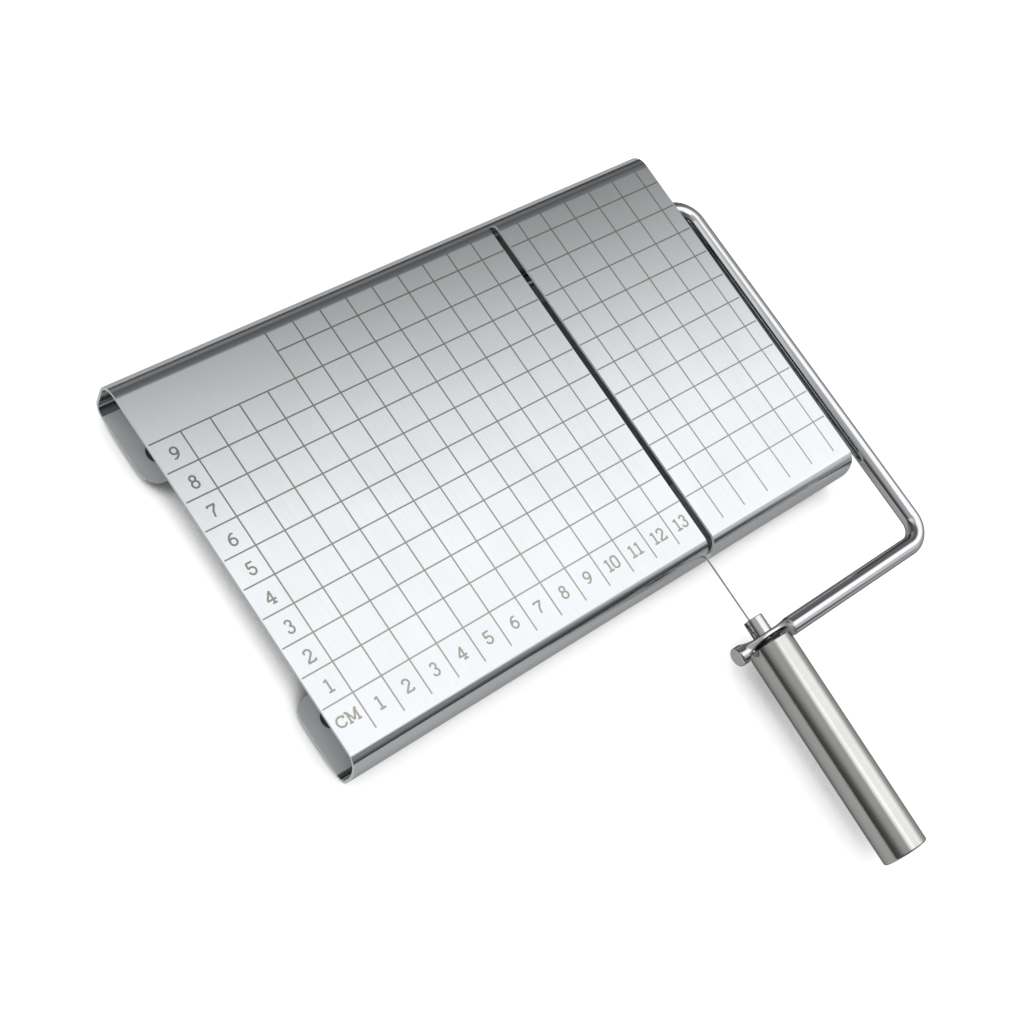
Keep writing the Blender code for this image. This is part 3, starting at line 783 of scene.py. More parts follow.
@dataclass
class FoldedBoard:
    """The folded steel sheet with its slot and the holes for its feet."""

    layout: Layout
    workshop: Workshop
    thickness: float = 1.0 * MM
    front_bends: tuple[Bend, ...] = ((30 * MM, 6), (14 * MM, 25), (7.5 * MM, 25), (3.9 * MM, 40))
    front_straight: float = 1.6 * MM
    rear_bends: tuple[Bend, ...] = ((15 * MM, 6), (6.3 * MM, 84))
    bottom_radius: float = 4.3 * MM
    front_flange: float = 28.4 * MM
    rear_flange: float = 30.0 * MM
    flange_corner: float = 6.0 * MM
    deburr: float = 0.14 * MM
    slot_width: float = 2.9 * MM
    slot_rear_margin: float = 4.0 * MM
    slot_drop: float = 7.2 * MM
    slot_corner: float = 1.2 * MM
    overrun: float = 1.0 * MM
    foot_hole: float = 2.5 * MM
    inner_skin: float = 1.03
    end_facing: float = 0.9
    bend_steps: int = 10

    @property
    def slot_x(self) -> float:
        """Distance of the slot's middle from the board's left end."""
        return self.layout.pivot.x - self.layout.corner.x

    @property
    def slot_edges(self) -> tuple[float, float]:
        """Distances of the slot's two edges from the board's left end."""
        return self.slot_x - self.slot_width / 2, self.slot_x + self.slot_width / 2

    def build(self) -> None:
        """Fold the sheet, cut it and dress it."""
        place = self.layout
        fall, draw_in, first_turn = self.front_sizes()
        low_radius = (place.height - fall) / (1 - math.cos(first_turn))
        widest = place.corner.y
        lowest_y = widest + draw_in + low_radius * math.sin(first_turn)
        bottom = place.at(0, self.front_flange, -place.height)
        folder = SheetFolder(place.corner.x, place.corner.x + place.length, bottom, -Y_AXIS)
        folder.run(bottom.y - lowest_y, after_bend=False)
        folder.bend(low_radius, -first_turn)
        folder.step(self.front_straight)
        for radius, angle in self.front_bends:
            folder.bend(radius, -math.radians(angle), self.bend_steps)
        folder.heading = Y_AXIS.copy()
        rear_depth, rear_fall = self.rear_sizes()
        folder.run(widest + place.depth - rear_depth - folder.place.y)
        for radius, angle in self.rear_bends:
            folder.bend(radius, -math.radians(angle), self.bend_steps)
        folder.heading = -Z_AXIS
        folder.run(place.height - self.bottom_radius - rear_fall)
        folder.bend(self.bottom_radius, -math.pi / 2)
        folder.run(self.rear_flange - self.bottom_radius, before_bend=False)
        shape = folder.shape
        self.round_flanges(shape)
        bmesh.ops.recalc_face_normals(shape, faces=shape.faces)
        outside = set(shape.verts)
        bmesh.ops.solidify(shape, geom=shape.faces[:], thickness=self.thickness)
        # The inner flange tops and the cut ends take the mill-side finish, lightened as painted light.
        flange_top = bottom.z + self.inner_skin * self.thickness
        for face in shape.faces:
            inner = not any(vertex in outside for vertex in face.verts)
            flat = inner and all(vertex.co.z < flange_top for vertex in face.verts)
            cut_end = abs(face.normal.x) > self.end_facing
            face.material_index = 1 if flat or cut_end else 0
        soften(shape, self.deburr)
        self.workshop.piece(
            "folded_board", shape, SHEET_STEEL, Body.BOARD, "sheet_steel", ["board_sheet"],
            [self.slot_cutter(), self.foot_hole_cutter()], MILL_SIDE_PAINTED_LIGHT,
        )

    def front_sizes(self) -> tuple[float, float, float]:
        """Work out the front wall from its bends.

        Returns:
            The height from the top down to the lower bend, how far the wall draws in towards it from its
            widest line, and the angle that the lower bend turns.
        """
        heading = math.pi - math.radians(sum(angle for _, angle in self.front_bends))
        first_turn = heading
        height = self.front_straight * math.sin(heading)
        depth = -self.front_straight * math.cos(heading)
        widest = 0.0
        for radius, angle in self.front_bends:
            onwards = heading + math.radians(angle)
            height += radius * (math.cos(heading) - math.cos(onwards))
            depth += radius * (math.sin(heading) - math.sin(onwards))
            heading = onwards
            widest = min(widest, depth)
        return height, -widest, first_turn

    def rear_sizes(self) -> tuple[float, float]:
        """Return how far the rear bends reach to the rear and down."""
        depth, fall, slope = 0.0, 0.0, 0.0
        for radius, angle in self.rear_bends:
            onwards = slope + math.radians(angle)
            depth += radius * (math.sin(onwards) - math.sin(slope))
            fall += radius * (math.cos(slope) - math.cos(onwards))
            slope = onwards
        return depth, fall

    def round_flanges(self, shape: Shape) -> None:
        """Round the free corners of the two flanges.

        Args:
            shape: The folded skin, still without thickness.
        """
        corners = [vertex for vertex in shape.verts if len(vertex.link_edges) == 2]
        bmesh.ops.bevel(
            shape, geom=corners, offset=self.flange_corner, offset_type="OFFSET", segments=10,
            profile=0.5, affect="VERTICES", material=-1, clamp_overlap=False,
        )

    def slot_cutter(self) -> Shape:
        """Return the shape of the slot: round at its rear end, square with small corners below."""
        left, right = self.slot_edges
        rear = self.layout.depth - self.slot_rear_margin
        shape = bmesh.new()
        low = self.layout.at(left, -self.overrun, -self.slot_drop)
        high = self.layout.at(right, rear, self.overrun)
        add_block(shape, low, high)
        ends = edges_beyond(shape, Y_AXIS, high.y - WELD_DISTANCE)
        uprights = [edge for edge in ends if abs(edge.verts[0].co.z - edge.verts[1].co.z) > self.overrun]
        round_edges(shape, uprights, self.slot_width / 2 - WELD_DISTANCE * 10, 10)
        lower = edges_beyond(shape, -Z_AXIS, -low.z - WELD_DISTANCE)
        sides = [edge for edge in lower if abs(edge.verts[0].co.y - edge.verts[1].co.y) > self.slot_width * 2]
        round_edges(shape, sides, self.slot_corner, 4)
        for face in shape.faces:
            face.material_index = 1
        return shape

    def foot_hole_cutter(self) -> Shape:
        """Return the four round holes for the feet as one cutter."""
        shape = bmesh.new()
        for node in Feet.nodes:
            low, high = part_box(node)
            middle = (low + high) / 2
            middle.z = self.layout.corner.z - self.layout.height + self.thickness / 2
            bmesh.ops.create_cone(
                shape, cap_ends=True, segments=40, radius1=self.foot_hole, radius2=self.foot_hole,
                depth=self.thickness + 2 * self.overrun, matrix=Matrix.Translation(middle),
            )
        return shape


@dataclass
class Feet:
    """Push-in rubber feet, one for each corner."""

    workshop: Workshop
    neck_radius: float = 2.2 * MM
    flange: float = 1.0 * MM
    seat_gap: float = 0.3 * MM
    pad_height: float = 2.5 * MM
    head_radius: float = 3.5 * MM
    dimple_radius: float = 2.0 * MM
    dimple_depth: float = 0.5 * MM
    groove: float = 0.35 * MM
    rounding: float = 0.35 * MM
    nodes = ("foot_front_left", "foot_front_right", "foot_rear_left", "foot_rear_right")

    def build(self) -> None:
        """Turn each foot where its node lies."""
        for node in self.nodes:
            low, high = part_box(node)
            base = Vector(((low.x + high.x) / 2, (low.y + high.y) / 2, low.z))
            pad = (high.x - low.x) / 2
            top = high.z - low.z
            head_bottom = self.pad_height + self.seat_gap * 2 + self.flange
            middle = self.pad_height / 2
            shape = turned(
                [
                    (0, self.dimple_depth),
                    (self.dimple_radius - self.dimple_depth / 2, self.dimple_depth),
                    (self.dimple_radius, 0), (pad, 0), (pad, middle - self.groove),
                    (pad - self.groove, middle), (pad, middle + self.groove), (pad, self.pad_height),
                    (self.neck_radius, self.pad_height), (self.neck_radius, head_bottom),
                    (self.head_radius, head_bottom),
                    (self.head_radius, head_bottom + self.rounding * 2), (self.neck_radius, top),
                    (0, top),
                ],
                56,
            )
            soften(shape, self.rounding / 2, 3, math.radians(40))
            placed(shape, Matrix.Translation(base))
            name = node.replace("foot", "rubber_foot")
            self.workshop.piece(name, shape, BLACK_RUBBER, Body.BOARD, "black_rubber", [node])


@dataclass
class BearingStraps:
    """The hat-shaped straps under the sheet, their welds and the sleeves that they hold."""

    layout: Layout
    workshop: Workshop
    thickness: float = 1.2 * MM
    bend_radius: float = 0.9 * MM
    hug_share: float = 0.98
    sleeve_radius: float = 4.55 * MM
    clearance: float = 0.1 * MM
    foot_length: float = 7.0 * MM
    bore_radius: float = 3.35 * MM
    shoulder_width: float = 0.8 * MM
    weld_radius: float = 1.7 * MM
    weld_rise: float = 0.12 * MM
    weld_shares: tuple[float, float] = (0.27, 0.73)
    deburr: float = 0.12 * MM

    def build(self) -> None:
        """Make both straps, their welds and sleeves."""
        for side in SIDES:
            self.strap(side)
            self.sleeve(side)
        self.welds()

    def strap(self, side: str) -> None:
        """Fold one strap round its sleeve.

        Args:
            side: Which strap, inner or outer.
        """
        low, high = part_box(f"saddle_{side}")
        middle_y = self.layout.pivot.y
        half_depth = (high.y - low.y) / 2
        hug = self.sleeve_radius + self.clearance
        hug_bend = (hug + self.thickness / 2) * self.hug_share + self.thickness / 2
        shoulder = self.bend_radius + self.thickness
        start = Vector((0, middle_y - half_depth, high.z))
        folder = SheetFolder(low.x, high.x, start, Y_AXIS)
        foot = half_depth - hug - self.bend_radius
        folder.run(foot - self.thickness + self.clearance)
        folder.bend(shoulder, -math.pi / 2, 8)
        wall = high.z - self.layout.pivot.z - shoulder + hug - hug_bend + self.thickness
        folder.step(max(wall, self.clearance))
        folder.bend(hug_bend - self.thickness, math.pi / 2, 16)
        across = 2 * (middle_y - folder.place.y)
        folder.step(max(across, self.clearance))
        folder.bend(hug_bend - self.thickness, math.pi / 2, 16)
        folder.step(max(high.z - shoulder - folder.place.z, self.clearance))
        folder.bend(shoulder, -math.pi / 2, 8)
        folder.run(middle_y + half_depth - folder.place.y)
        shape = folder.shape
        bmesh.ops.recalc_face_normals(shape, faces=shape.faces)
        self.thicken(shape)
        soften(shape, self.deburr)
        self.workshop.piece(
            f"strap_{side}", shape, STRAP_STEEL, Body.BOARD, "strap_steel", [f"saddle_{side}"]
        )

    def thicken(self, shape: Shape) -> None:
        """Give the strap its thickness on the side away from the sheet.

        Args:
            shape: The folded upper skin.
        """
        top = max(vertex.co.z for vertex in shape.verts)
        bmesh.ops.solidify(shape, geom=shape.faces[:], thickness=self.thickness)
        if max(vertex.co.z for vertex in shape.verts) > top + self.clearance:
            bmesh.ops.translate(shape, verts=shape.verts, vec=(0, 0, -self.thickness))

    def sleeve(self, side: str) -> None:
        """Turn one sleeve.

        Args:
            side: Which sleeve, inner or outer.
        """
        node = f"sleeve_{side}"
        reach = measure(node, self.layout.pivot, X_AXIS)
        inner_low = reach.low + self.shoulder_width
        inner_high = reach.high - self.shoulder_width
        shape = turned(
            [
                (self.bore_radius, reach.low), (reach.radius, reach.low), (reach.radius, inner_low),
                (self.sleeve_radius, inner_low), (self.sleeve_radius, inner_high),
                (reach.radius, inner_high), (reach.radius, reach.high), (self.bore_radius, reach.high),
                (self.bore_radius, reach.low),
            ],
            64,
        )
        soften(shape, self.deburr, 2)
        placed(shape, axes_matrix(self.layout.pivot, -Z_AXIS, X_AXIS))
        self.workshop.piece(f"bush_{side}", shape, WHITE_NYLON, Body.BOARD, "white_nylon", [node])

    def welds(self) -> None:
        """Press the round weld marks into the straps' feet."""
        shape = bmesh.new()
        for side in SIDES:
            low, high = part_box(f"saddle_{side}")
            for y in (low.y + self.foot_length / 2, high.y - self.foot_length / 2):
                for share in self.weld_shares:
                    x = low.x + (high.x - low.x) * share
                    dish = turned(
                        [
                            (0, 0), (self.weld_radius, 0), (self.weld_radius * 0.86, -self.weld_rise),
                            (self.weld_radius * 0.66, -self.weld_rise * 0.5),
                            (0, -self.weld_rise * 0.3),
                        ],
                        28,
                    )
                    placed(dish, Matrix.Translation((x, y, high.z - self.thickness)))
                    mesh = bpy.data.meshes.new("weld_dish")
                    dish.to_mesh(mesh)
                    dish.free()
                    shape.from_mesh(mesh)
                    bpy.data.meshes.remove(mesh)
        self.workshop.piece("weld_marks", shape, HEAT_TINT, Body.BOARD, "strap_steel")


@dataclass(frozen=True)
class Bar:
    """A straight stroke between two points, in shares of the figure's height."""

    start: tuple[float, float]
    end: tuple[float, float]


@dataclass(frozen=True)
class Arc:
    """A stroke along a circle, in shares of the figure's height and degrees."""

    centre: tuple[float, float]
    radius: float
    start: float
    end: float


@dataclass(frozen=True)
class Dot:
    """A round end of a stroke, in shares of the figure's height."""

    centre: tuple[float, float]
    radius: float


Stroke = Bar | Arc | Dot

FIGURES: dict[str, tuple[float, tuple[Stroke, ...]]] = {
    "0": (0.60, (
        Arc((0.30, 0.70), 0.25, 0, 180), Arc((0.30, 0.30), 0.25, 180, 360),
        Bar((0.05, 0.29), (0.05, 0.71)), Bar((0.55, 0.29), (0.55, 0.71)),
    )),
    "1": (0.56, (
        Bar((0.30, 0.04), (0.30, 0.96)), Bar((0.10, 0.80), (0.30, 0.92)), Bar((0.06, 0.05), (0.54, 0.05)),
    )),
    "2": (0.70, (
        Arc((0.33, 0.70), 0.25, 160, -32), Bar((0.56, 0.59), (0.08, 0.09)),
        Bar((0.04, 0.05), (0.68, 0.05)), Bar((0.66, 0.03), (0.66, 0.20)), Dot((0.12, 0.75), 0.075),
    )),
    "3": (0.66, (
        Arc((0.32, 0.74), 0.21, 150, -88), Arc((0.31, 0.29), 0.245, 88, -160), Dot((0.15, 0.82), 0.07),
        Dot((0.10, 0.22), 0.075),
    )),
    "4": (0.74, (
        Bar((0.48, 0.93), (0.05, 0.31)), Bar((0.03, 0.30), (0.72, 0.30)), Bar((0.48, 0.95), (0.48, 0.05)),
        Bar((0.30, 0.05), (0.66, 0.05)),
    )),
    "5": (0.70, (
        Bar((0.15, 0.91), (0.62, 0.91)), Bar((0.17, 0.92), (0.14, 0.50)),
        Arc((0.35, 0.31), 0.26, 140, -155), Dot((0.11, 0.24), 0.075),
    )),
    "6": (0.70, (
        Arc((0.36, 0.30), 0.25, 0, 360), Arc((0.67, 0.36), 0.56, 180, 108), Dot((0.55, 0.86), 0.07),
    )),
    "7": (0.72, (
        Bar((0.08, 0.90), (0.68, 0.90)), Bar((0.10, 0.93), (0.10, 0.77)), Bar((0.66, 0.90), (0.36, 0.44)),
        Bar((0.36, 0.46), (0.29, 0.03)),
    )),
    "8": (0.68, (Arc((0.34, 0.74), 0.205, 0, 360), Arc((0.34, 0.29), 0.25, 0, 360))),
    "9": (0.70, (
        Arc((0.34, 0.70), 0.25, 0, 360), Arc((0.03, 0.64), 0.56, 0, -72), Dot((0.15, 0.14), 0.07),
    )),
    "C": (0.84, (
        Arc((0.45, 0.50), 0.41, 48, 312), Bar((0.76, 0.66), (0.76, 0.93)),
        Bar((0.74, 0.20), (0.78, 0.32)),
    )),
    "M": (1.17, (
        Bar((0.20, 0.05), (0.20, 0.95)), Bar((0.97, 0.05), (0.97, 0.95)),
        Bar((0.20, 0.95), (0.585, 0.14)), Bar((0.585, 0.14), (0.97, 0.95)),
        Bar((0.03, 0.05), (0.37, 0.05)), Bar((0.80, 0.05), (1.14, 0.05)), Bar((0.03, 0.95), (0.22, 0.95)),
        Bar((0.95, 0.95), (1.14, 0.95)),
    )),
}


class MarkPen:
    """Draws raised strokes of even width on the work surface."""

    def __init__(self, base: float, rise: float) -> None:
        """Start a new drawing.

        Args:
            base: Height of the strokes' underside.
            rise: Thickness of the strokes.
        """
        self.shape = bmesh.new()
        self.base = base
        self.rise = rise

    def climb(self) -> None:
        """Raise the next stroke a hair, so that no stroke's top lies in the plane of one that it crosses."""
        self.rise += STROKE_STEP

    def bar(self, start: Vector, end: Vector, width: float) -> None:
        """Draw a straight stroke.

        Args:
            start: First end of its middle line.
            end: Last end of its middle line.
            width: Width of the stroke.
        """
        run = end - start
        angle = math.atan2(run.y, run.x)
        middle = (start + end) / 2
        matrix = Matrix.Translation((middle.x, middle.y, self.base + self.rise / 2))
        matrix = matrix @ Matrix.Rotation(angle, 4, "Z") @ Matrix.Diagonal((run.length, width, self.rise, 1))
        bmesh.ops.create_cube(self.shape, size=1, matrix=matrix)

    def arc(self, centre: Vector, radius: float, start: float, end: float, width: float) -> None:
        """Draw a stroke along a circle by spinning its cross-section.

        Args:
            centre: Centre of the circle.
            radius: Radius of the middle line.
            start: First angle.
            end: Last angle.
            width: Width of the stroke.
        """
        corners = []
        for reach, height in ((-1, 0), (1, 0), (1, 1), (-1, 1)):
            out = radius + reach * width / 2
            place = (centre.x + out * math.cos(start), centre.y + out * math.sin(start))
            corners.append(self.shape.verts.new((*place, self.base + self.rise * height)))
        section = self.shape.faces.new(corners)
        bmesh.ops.spin(
            self.shape, geom=[section], cent=(centre.x, centre.y, self.base), axis=(0, 0, 1),
            angle=end - start, steps=max(4, round(abs(end - start) / math.radians(12))),
        )

    def dot(self, centre: Vector, radius: float) -> None:
        """Draw a round dot."""
        bmesh.ops.create_cone(
            self.shape, cap_ends=True, segments=14, radius1=radius, radius2=radius, depth=self.rise,
            matrix=Matrix.Translation((centre.x, centre.y, self.base + self.rise / 2)),
        )

    def figure(
        self, text: str, left: float, baseline: float, height: float, width: float, gap: float
    ) -> None:
        """Draw a row of figures.

        Args:
            text: The figures.
            left: Left end of the row.
            baseline: Height of the figures' foot along Y.
            height: Height of the figures.
            width: Width of their strokes.
            gap: Space between neighbours.
        """
        first_rise = self.rise
        for sign in text:
            advance, strokes = FIGURES[sign]
            self.rise = first_rise
            for stroke in strokes:
                self.stroke(stroke, Vector((left, baseline)), height, width)
                self.climb()
            left += advance * height + gap
        self.rise = first_rise

    def stroke(self, stroke: Stroke, origin: Vector, height: float, width: float) -> None:
        """Draw one stroke of a figure.

        Args:
            stroke: The stroke in shares of the figure's height.
            origin: Lower left corner of the figure.
            height: Height of the figure.
            width: Width of the stroke.
        """
        if isinstance(stroke, Bar):
            self.bar(origin + Vector(stroke.start) * height, origin + Vector(stroke.end) * height, width)
        elif isinstance(stroke, Arc):
            centre = origin + Vector(stroke.centre) * height
            turn = (math.radians(stroke.start), math.radians(stroke.end))
            self.arc(centre, stroke.radius * height, *turn, width)
        else:
            self.dot(origin + Vector(stroke.centre) * height, stroke.radius * height)

    @staticmethod
    def row_width(text: str, height: float, gap: float) -> float:
        """Return the width of a row of figures."""
        return sum(FIGURES[sign][0] for sign in text) * height + gap * (len(text) - 1)


@dataclass
class Scale:
    """The centimetre grid and its figures on the work surface."""

    board: FoldedBoard
    pitch: float = 10.0 * MM
    origin_x: float = 11.1 * MM
    origin_y: float = 20.45 * MM
    first_row_drop: float = 0.5 * MM
    line_width: float = 0.48 * MM
    rise: float = 0.02 * MM
    sunk: float = 0.01 * MM
    end_margin: float = 0.6 * MM
    front_overhang: float = 12.5 * MM
    rear_overhang: float = 6.8 * MM
    row_count: int = 11
    columns_left_of_slot: int = 13
    columns_right_of_slot: int = 6
    even_columns_right: int = 2
    wide_pitch: float = 10.95 * MM
    short_columns: int = 4
    figure_height: float = 4.3 * MM
    unit_height: float = 3.7 * MM
    stroke_width: float = 0.62 * MM
    figure_gap: float = 0.25 * MM
    front_baseline: float = 8.9 * MM
    left_baseline: float = 2.5 * MM
    unit_baseline: float = 7.9 * MM
    unit_left: float = 9.3 * MM

    def build(self) -> None:
        """Draw the lines and the figures as two pieces."""
        board = self.board
        for name, draw in (("grid_lines", self.lines), ("scale_figures", self.figures)):
            pen = MarkPen(board.layout.corner.z - self.sunk, self.rise + self.sunk)
            draw(pen)
            board.workshop.piece(name, pen.shape, ETCHED_MARK, Body.BOARD)

    def spot(self, x: float, y: float) -> Vector:
        """Return the flat place of a point of the grid."""
        place = self.board.layout.at(self.origin_x + x, self.origin_y + y)
        return Vector((place.x, place.y))

    def columns(self) -> list[tuple[int, float]]:
        """Return each column line's number and distance from the grid's corner."""
        places = [(index, self.pitch * index) for index in range(self.columns_left_of_slot)]
        for extra in range(1, self.columns_right_of_slot + 1):
            index = self.columns_left_of_slot + extra
            widened = max(0, extra - self.even_columns_right) * (self.wide_pitch - self.pitch)
            places.append((index, self.pitch * index + widened))
        return places

    def lines(self, pen: MarkPen) -> None:
        """Draw the grid's lines, which stop at the slot and leave the rear left field bare."""
        board = self.board
        slot_left, slot_right = (edge - self.origin_x for edge in board.slot_edges)
        left = self.end_margin - self.origin_x
        right = board.layout.length - self.end_margin - self.origin_x
        for row in range(self.row_count):
            y = self.pitch * row - (self.first_row_drop if row == 0 else 0)
            start = self.pitch * self.short_columns if row == self.row_count - 1 else left
            stretches = ((start, slot_left - self.end_margin / 3), (slot_right + self.end_margin / 3, right))
            for low, high in stretches:
                pen.bar(self.spot(low, y), self.spot(high, y), self.line_width)
        pen.climb()
        for index, x in self.columns():
            rear = self.pitch * (self.row_count - 1) + self.rear_overhang
            if index < self.short_columns:
                rear = self.pitch * (self.row_count - 2)
            pen.bar(self.spot(x, -self.front_overhang), self.spot(x, rear), self.line_width)

    def figures(self, pen: MarkPen) -> None:
        """Draw the unit, the front row of figures and the left column of figures."""
        start = self.spot(-self.unit_left, -self.unit_baseline)
        pen.figure("CM", start.x, start.y, self.unit_height, self.stroke_width, self.figure_gap)
        for number in range(1, self.columns_left_of_slot + 1):
            text = str(number)
            half = pen.row_width(text, self.figure_height, self.figure_gap) / 2
            start = self.spot(self.pitch * (number - 0.5) - half, -self.front_baseline)
            pen.figure(text, start.x, start.y, self.figure_height, self.stroke_width, self.figure_gap)
        for number in range(1, self.row_count - 1):
            text = str(number)
            half = pen.row_width(text, self.figure_height, self.figure_gap) / 2
            start = self.spot(-self.pitch / 2 - half, self.pitch * (number - 1) + self.left_baseline)
            pen.figure(text, start.x, start.y, self.figure_height, self.stroke_width, self.figure_gap)


class RodFormer:
    """Forms a rod by extruding and spinning its leading face."""

    def __init__(self, start: Vector, heading: Vector, radius: float, facets: int) -> None:
        """Cut the rod's first face.

        Args:
            start: Middle of the first face.
            heading: Direction of the rod.
            radius: Radius of the first face.
            facets: Facets round the rod.
        """
        self.shape = bmesh.new()
        side = heading.cross(Z_AXIS).normalized()
        matrix = axes_matrix(start, side, heading)
        made = bmesh.ops.create_circle(
            self.shape, cap_ends=True, cap_tris=False, segments=facets, radius=radius, matrix=matrix
        )
        self.lead = made["verts"][0].link_faces[0]
        self.place = start.copy()
        self.heading = heading.copy()
        self.radius = radius

    def extrude(self) -> list[bmesh.types.BMVert]:
        """Extrude the leading face in place and return its new vertices."""
        grown = bmesh.ops.extrude_face_region(self.shape, geom=[self.lead])["geom"]
        self.lead = next(item for item in grown if isinstance(item, bmesh.types.BMFace))
        return list(self.lead.verts)

    def step(self, distance: float) -> None:
        """Draw the rod straight on by a distance."""
        bmesh.ops.translate(self.shape, verts=self.extrude(), vec=self.heading * distance)
        self.place += self.heading * distance

    def resize(self, radius: float, distance: float = 0.0) -> None:
        """Change the rod's radius.

        Args:
            radius: The new radius.
            distance: Length of the change along the rod.
        """
        ring = self.extrude()
        share = radius / self.radius
        bmesh.ops.scale(self.shape, verts=ring, vec=(share,) * 3, space=Matrix.Translation(-self.place))
        bmesh.ops.translate(self.shape, verts=ring, vec=self.heading * distance)
        self.place += self.heading * distance
        self.radius = radius

    def bend(self, radius: float, angle: float, steps: int) -> None:
        """Bend the rod about an upright axis.

        Args:
            radius: Radius of the rod's middle line.
            angle: Signed angle of the bend.
            steps: Facets along the bend.
        """
        turn = Matrix.Rotation(angle, 3, "Z")
        inwards = Matrix.Rotation(math.copysign(math.pi / 2, angle), 3, "Z") @ self.heading
        centre = self.place + inwards * radius
        spun = bmesh.ops.spin(
            self.shape, geom=[self.lead], cent=centre, axis=Z_AXIS, angle=angle, steps=steps
        )["geom_last"]
        self.lead = next(item for item in spun if isinstance(item, bmesh.types.BMFace))
        self.place = centre + turn @ (self.place - centre)
        self.heading = turn @ self.heading


@dataclass
class SwingFrame:
    """The bent rod with its pressed eyelet, the rings on its leg, the wire and the washer."""

    layout: Layout
    workshop: Workshop
    rod_radius: float = 3.25 * MM
    facets: int = 56
    arm_rear_inset: float = 1.4 * MM
    bend_radius: float = 8.0 * MM
    tip_chamfer: float = 0.5 * MM
    groove_depth: float = 0.6 * MM
    groove_gap: float = 0.1 * MM
    eyelet_half_length: float = 10.5 * MM
    eyelet_half_height: float = 7.0 * MM
    eyelet_rear: float = -2.7 * MM
    eyelet_front: float = -0.7 * MM
    eyelet_steps: int = 48
    flank_power: float = 5.0
    outline_power: float = 1.5
    round_power: float = 2.0
    flat_power: float = 5.0
    stub_rounding: float = 0.8 * MM
    stub_setback: float = 1.0 * MM
    stud_gap: float = 0.2 * MM
    rim_flare: float = 0.25 * MM
    wire_radius: float = 0.3 * MM
    wire_hole: float = 0.6 * MM
    ferrule_gap: float = 0.3 * MM
    overrun: float = 1.0 * MM
    ring_mouth: float = math.radians(80)
    washer_bore: float = 2.65 * MM
    washer_rounding: float = 0.15 * MM

    def build(self) -> None:
        """Make every piece that swings with the frame."""
        self.rod()
        self.rings()
        self.wire()
        self.washer()

    def rod(self) -> None:
        """Bend the rod, press its eyelet and drill it."""
        low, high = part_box("swing_frame")
        pivot, eyelet = self.layout.pivot, self.layout.eyelet
        arm_x = high.x - self.rod_radius
        corner_rear = Vector((arm_x - self.arm_rear_inset, pivot.y, pivot.z))
        corner_front = Vector((arm_x, eyelet.y, pivot.z))
        start = Vector((low.x, pivot.y, pivot.z))
        former = RodFormer(start, X_AXIS, self.rod_radius - self.tip_chamfer, self.facets)
        former.resize(self.rod_radius, self.tip_chamfer)
        for side in SIDES:
            reach = measure(f"ring_{side}", Vector((0, pivot.y, pivot.z)), X_AXIS)
            former.step(reach.low - self.groove_gap - former.place.x)
            former.resize(self.rod_radius - self.groove_depth)
            former.step(reach.high + self.groove_gap - former.place.x)
            former.resize(self.rod_radius)
        self.turn_corner(former, corner_rear, corner_front)
        self.turn_corner(former, corner_front, corner_front - X_AXIS)
        former.step(former.place.x - eyelet.x - self.eyelet_half_length)
        for _ in range(self.eyelet_steps):
            former.step(2 * self.eyelet_half_length / self.eyelet_steps)
        self.press_eyelet(former.shape)
        self.finish_stub(former)
        self.workshop.piece(
            "bent_rod", former.shape, BRIGHT_ROD, Body.FRAME, "chrome_rod", ["swing_frame"],
            [self.stud_hole(), self.wire_bore()],
        )

    def turn_corner(self, former: RodFormer, corner: Vector, onwards: Vector) -> None:
        """Run to a corner and bend round it.

        Args:
            former: The rod so far.
            corner: Where the straight middle lines meet.
            onwards: A point on the middle line after the corner.
        """
        after = (onwards - corner).normalized()
        turn = former.heading.xy.angle_signed(after.xy)
        tangent = self.bend_radius * math.tan(abs(turn) / 2)
        former.step((corner - former.place).length - tangent)
        former.bend(self.bend_radius, -turn, 28)

    def press_eyelet(self, shape: Shape) -> None:
        """Press the front leg flat round the stud, wider upwards and thinner across.

        Args:
            shape: The rod, whose last stretch is the eyelet.
        """
        eyelet = self.layout.eyelet
        reach = self.eyelet_half_length + WELD_DISTANCE
        for vertex in shape.verts:
            offset = vertex.co - eyelet
            if abs(offset.x) > reach or offset.y > self.eyelet_half_height:
                continue
            share = offset.x / self.eyelet_half_length
            pressed = max(0.0, 1 - abs(share) ** self.flank_power)
            swell = max(0.0, 1 - share * share) ** self.outline_power
            power = self.round_power + (self.flat_power - self.round_power) * pressed
            angle = math.atan2(offset.z, -offset.y)
            middle = -self.stub_setback if share < 0 else 0
            outer = (middle + self.rod_radius) * (1 - pressed) + self.eyelet_front * pressed
            inner = (middle - self.rod_radius) * (1 - pressed) + self.eyelet_rear * pressed
            half_height = self.rod_radius + (self.eyelet_half_height - self.rod_radius) * swell
            across = math.copysign(abs(math.cos(angle)) ** (2 / power), math.cos(angle))
            upwards = math.copysign(abs(math.sin(angle)) ** (2 / power), math.sin(angle))
            vertex.co.y = eyelet.y - (outer + inner) / 2 - (outer - inner) / 2 * across
            vertex.co.z = eyelet.z + half_height * upwards

    def finish_stub(self, former: RodFormer) -> None:
        """Draw the short stub past the eyelet and round its end.

        Args:
            former: The rod up to the eyelet's end.
        """
        former.step(former.place.x - self.stub_end())
        round_edges(former.shape, list(former.lead.edges), self.stub_rounding, 6)

    def stub_end(self) -> float:
        """Return the X of the stub's end, read from the front leg of the frame's node."""
        eyelet = self.layout.eyelet
        front = [
            vertex.co.x
            for vertex in frame["nodes"]["swing_frame"].data.vertices
            if vertex.co.y < eyelet.y + self.eyelet_half_height
        ]
        return min(front)

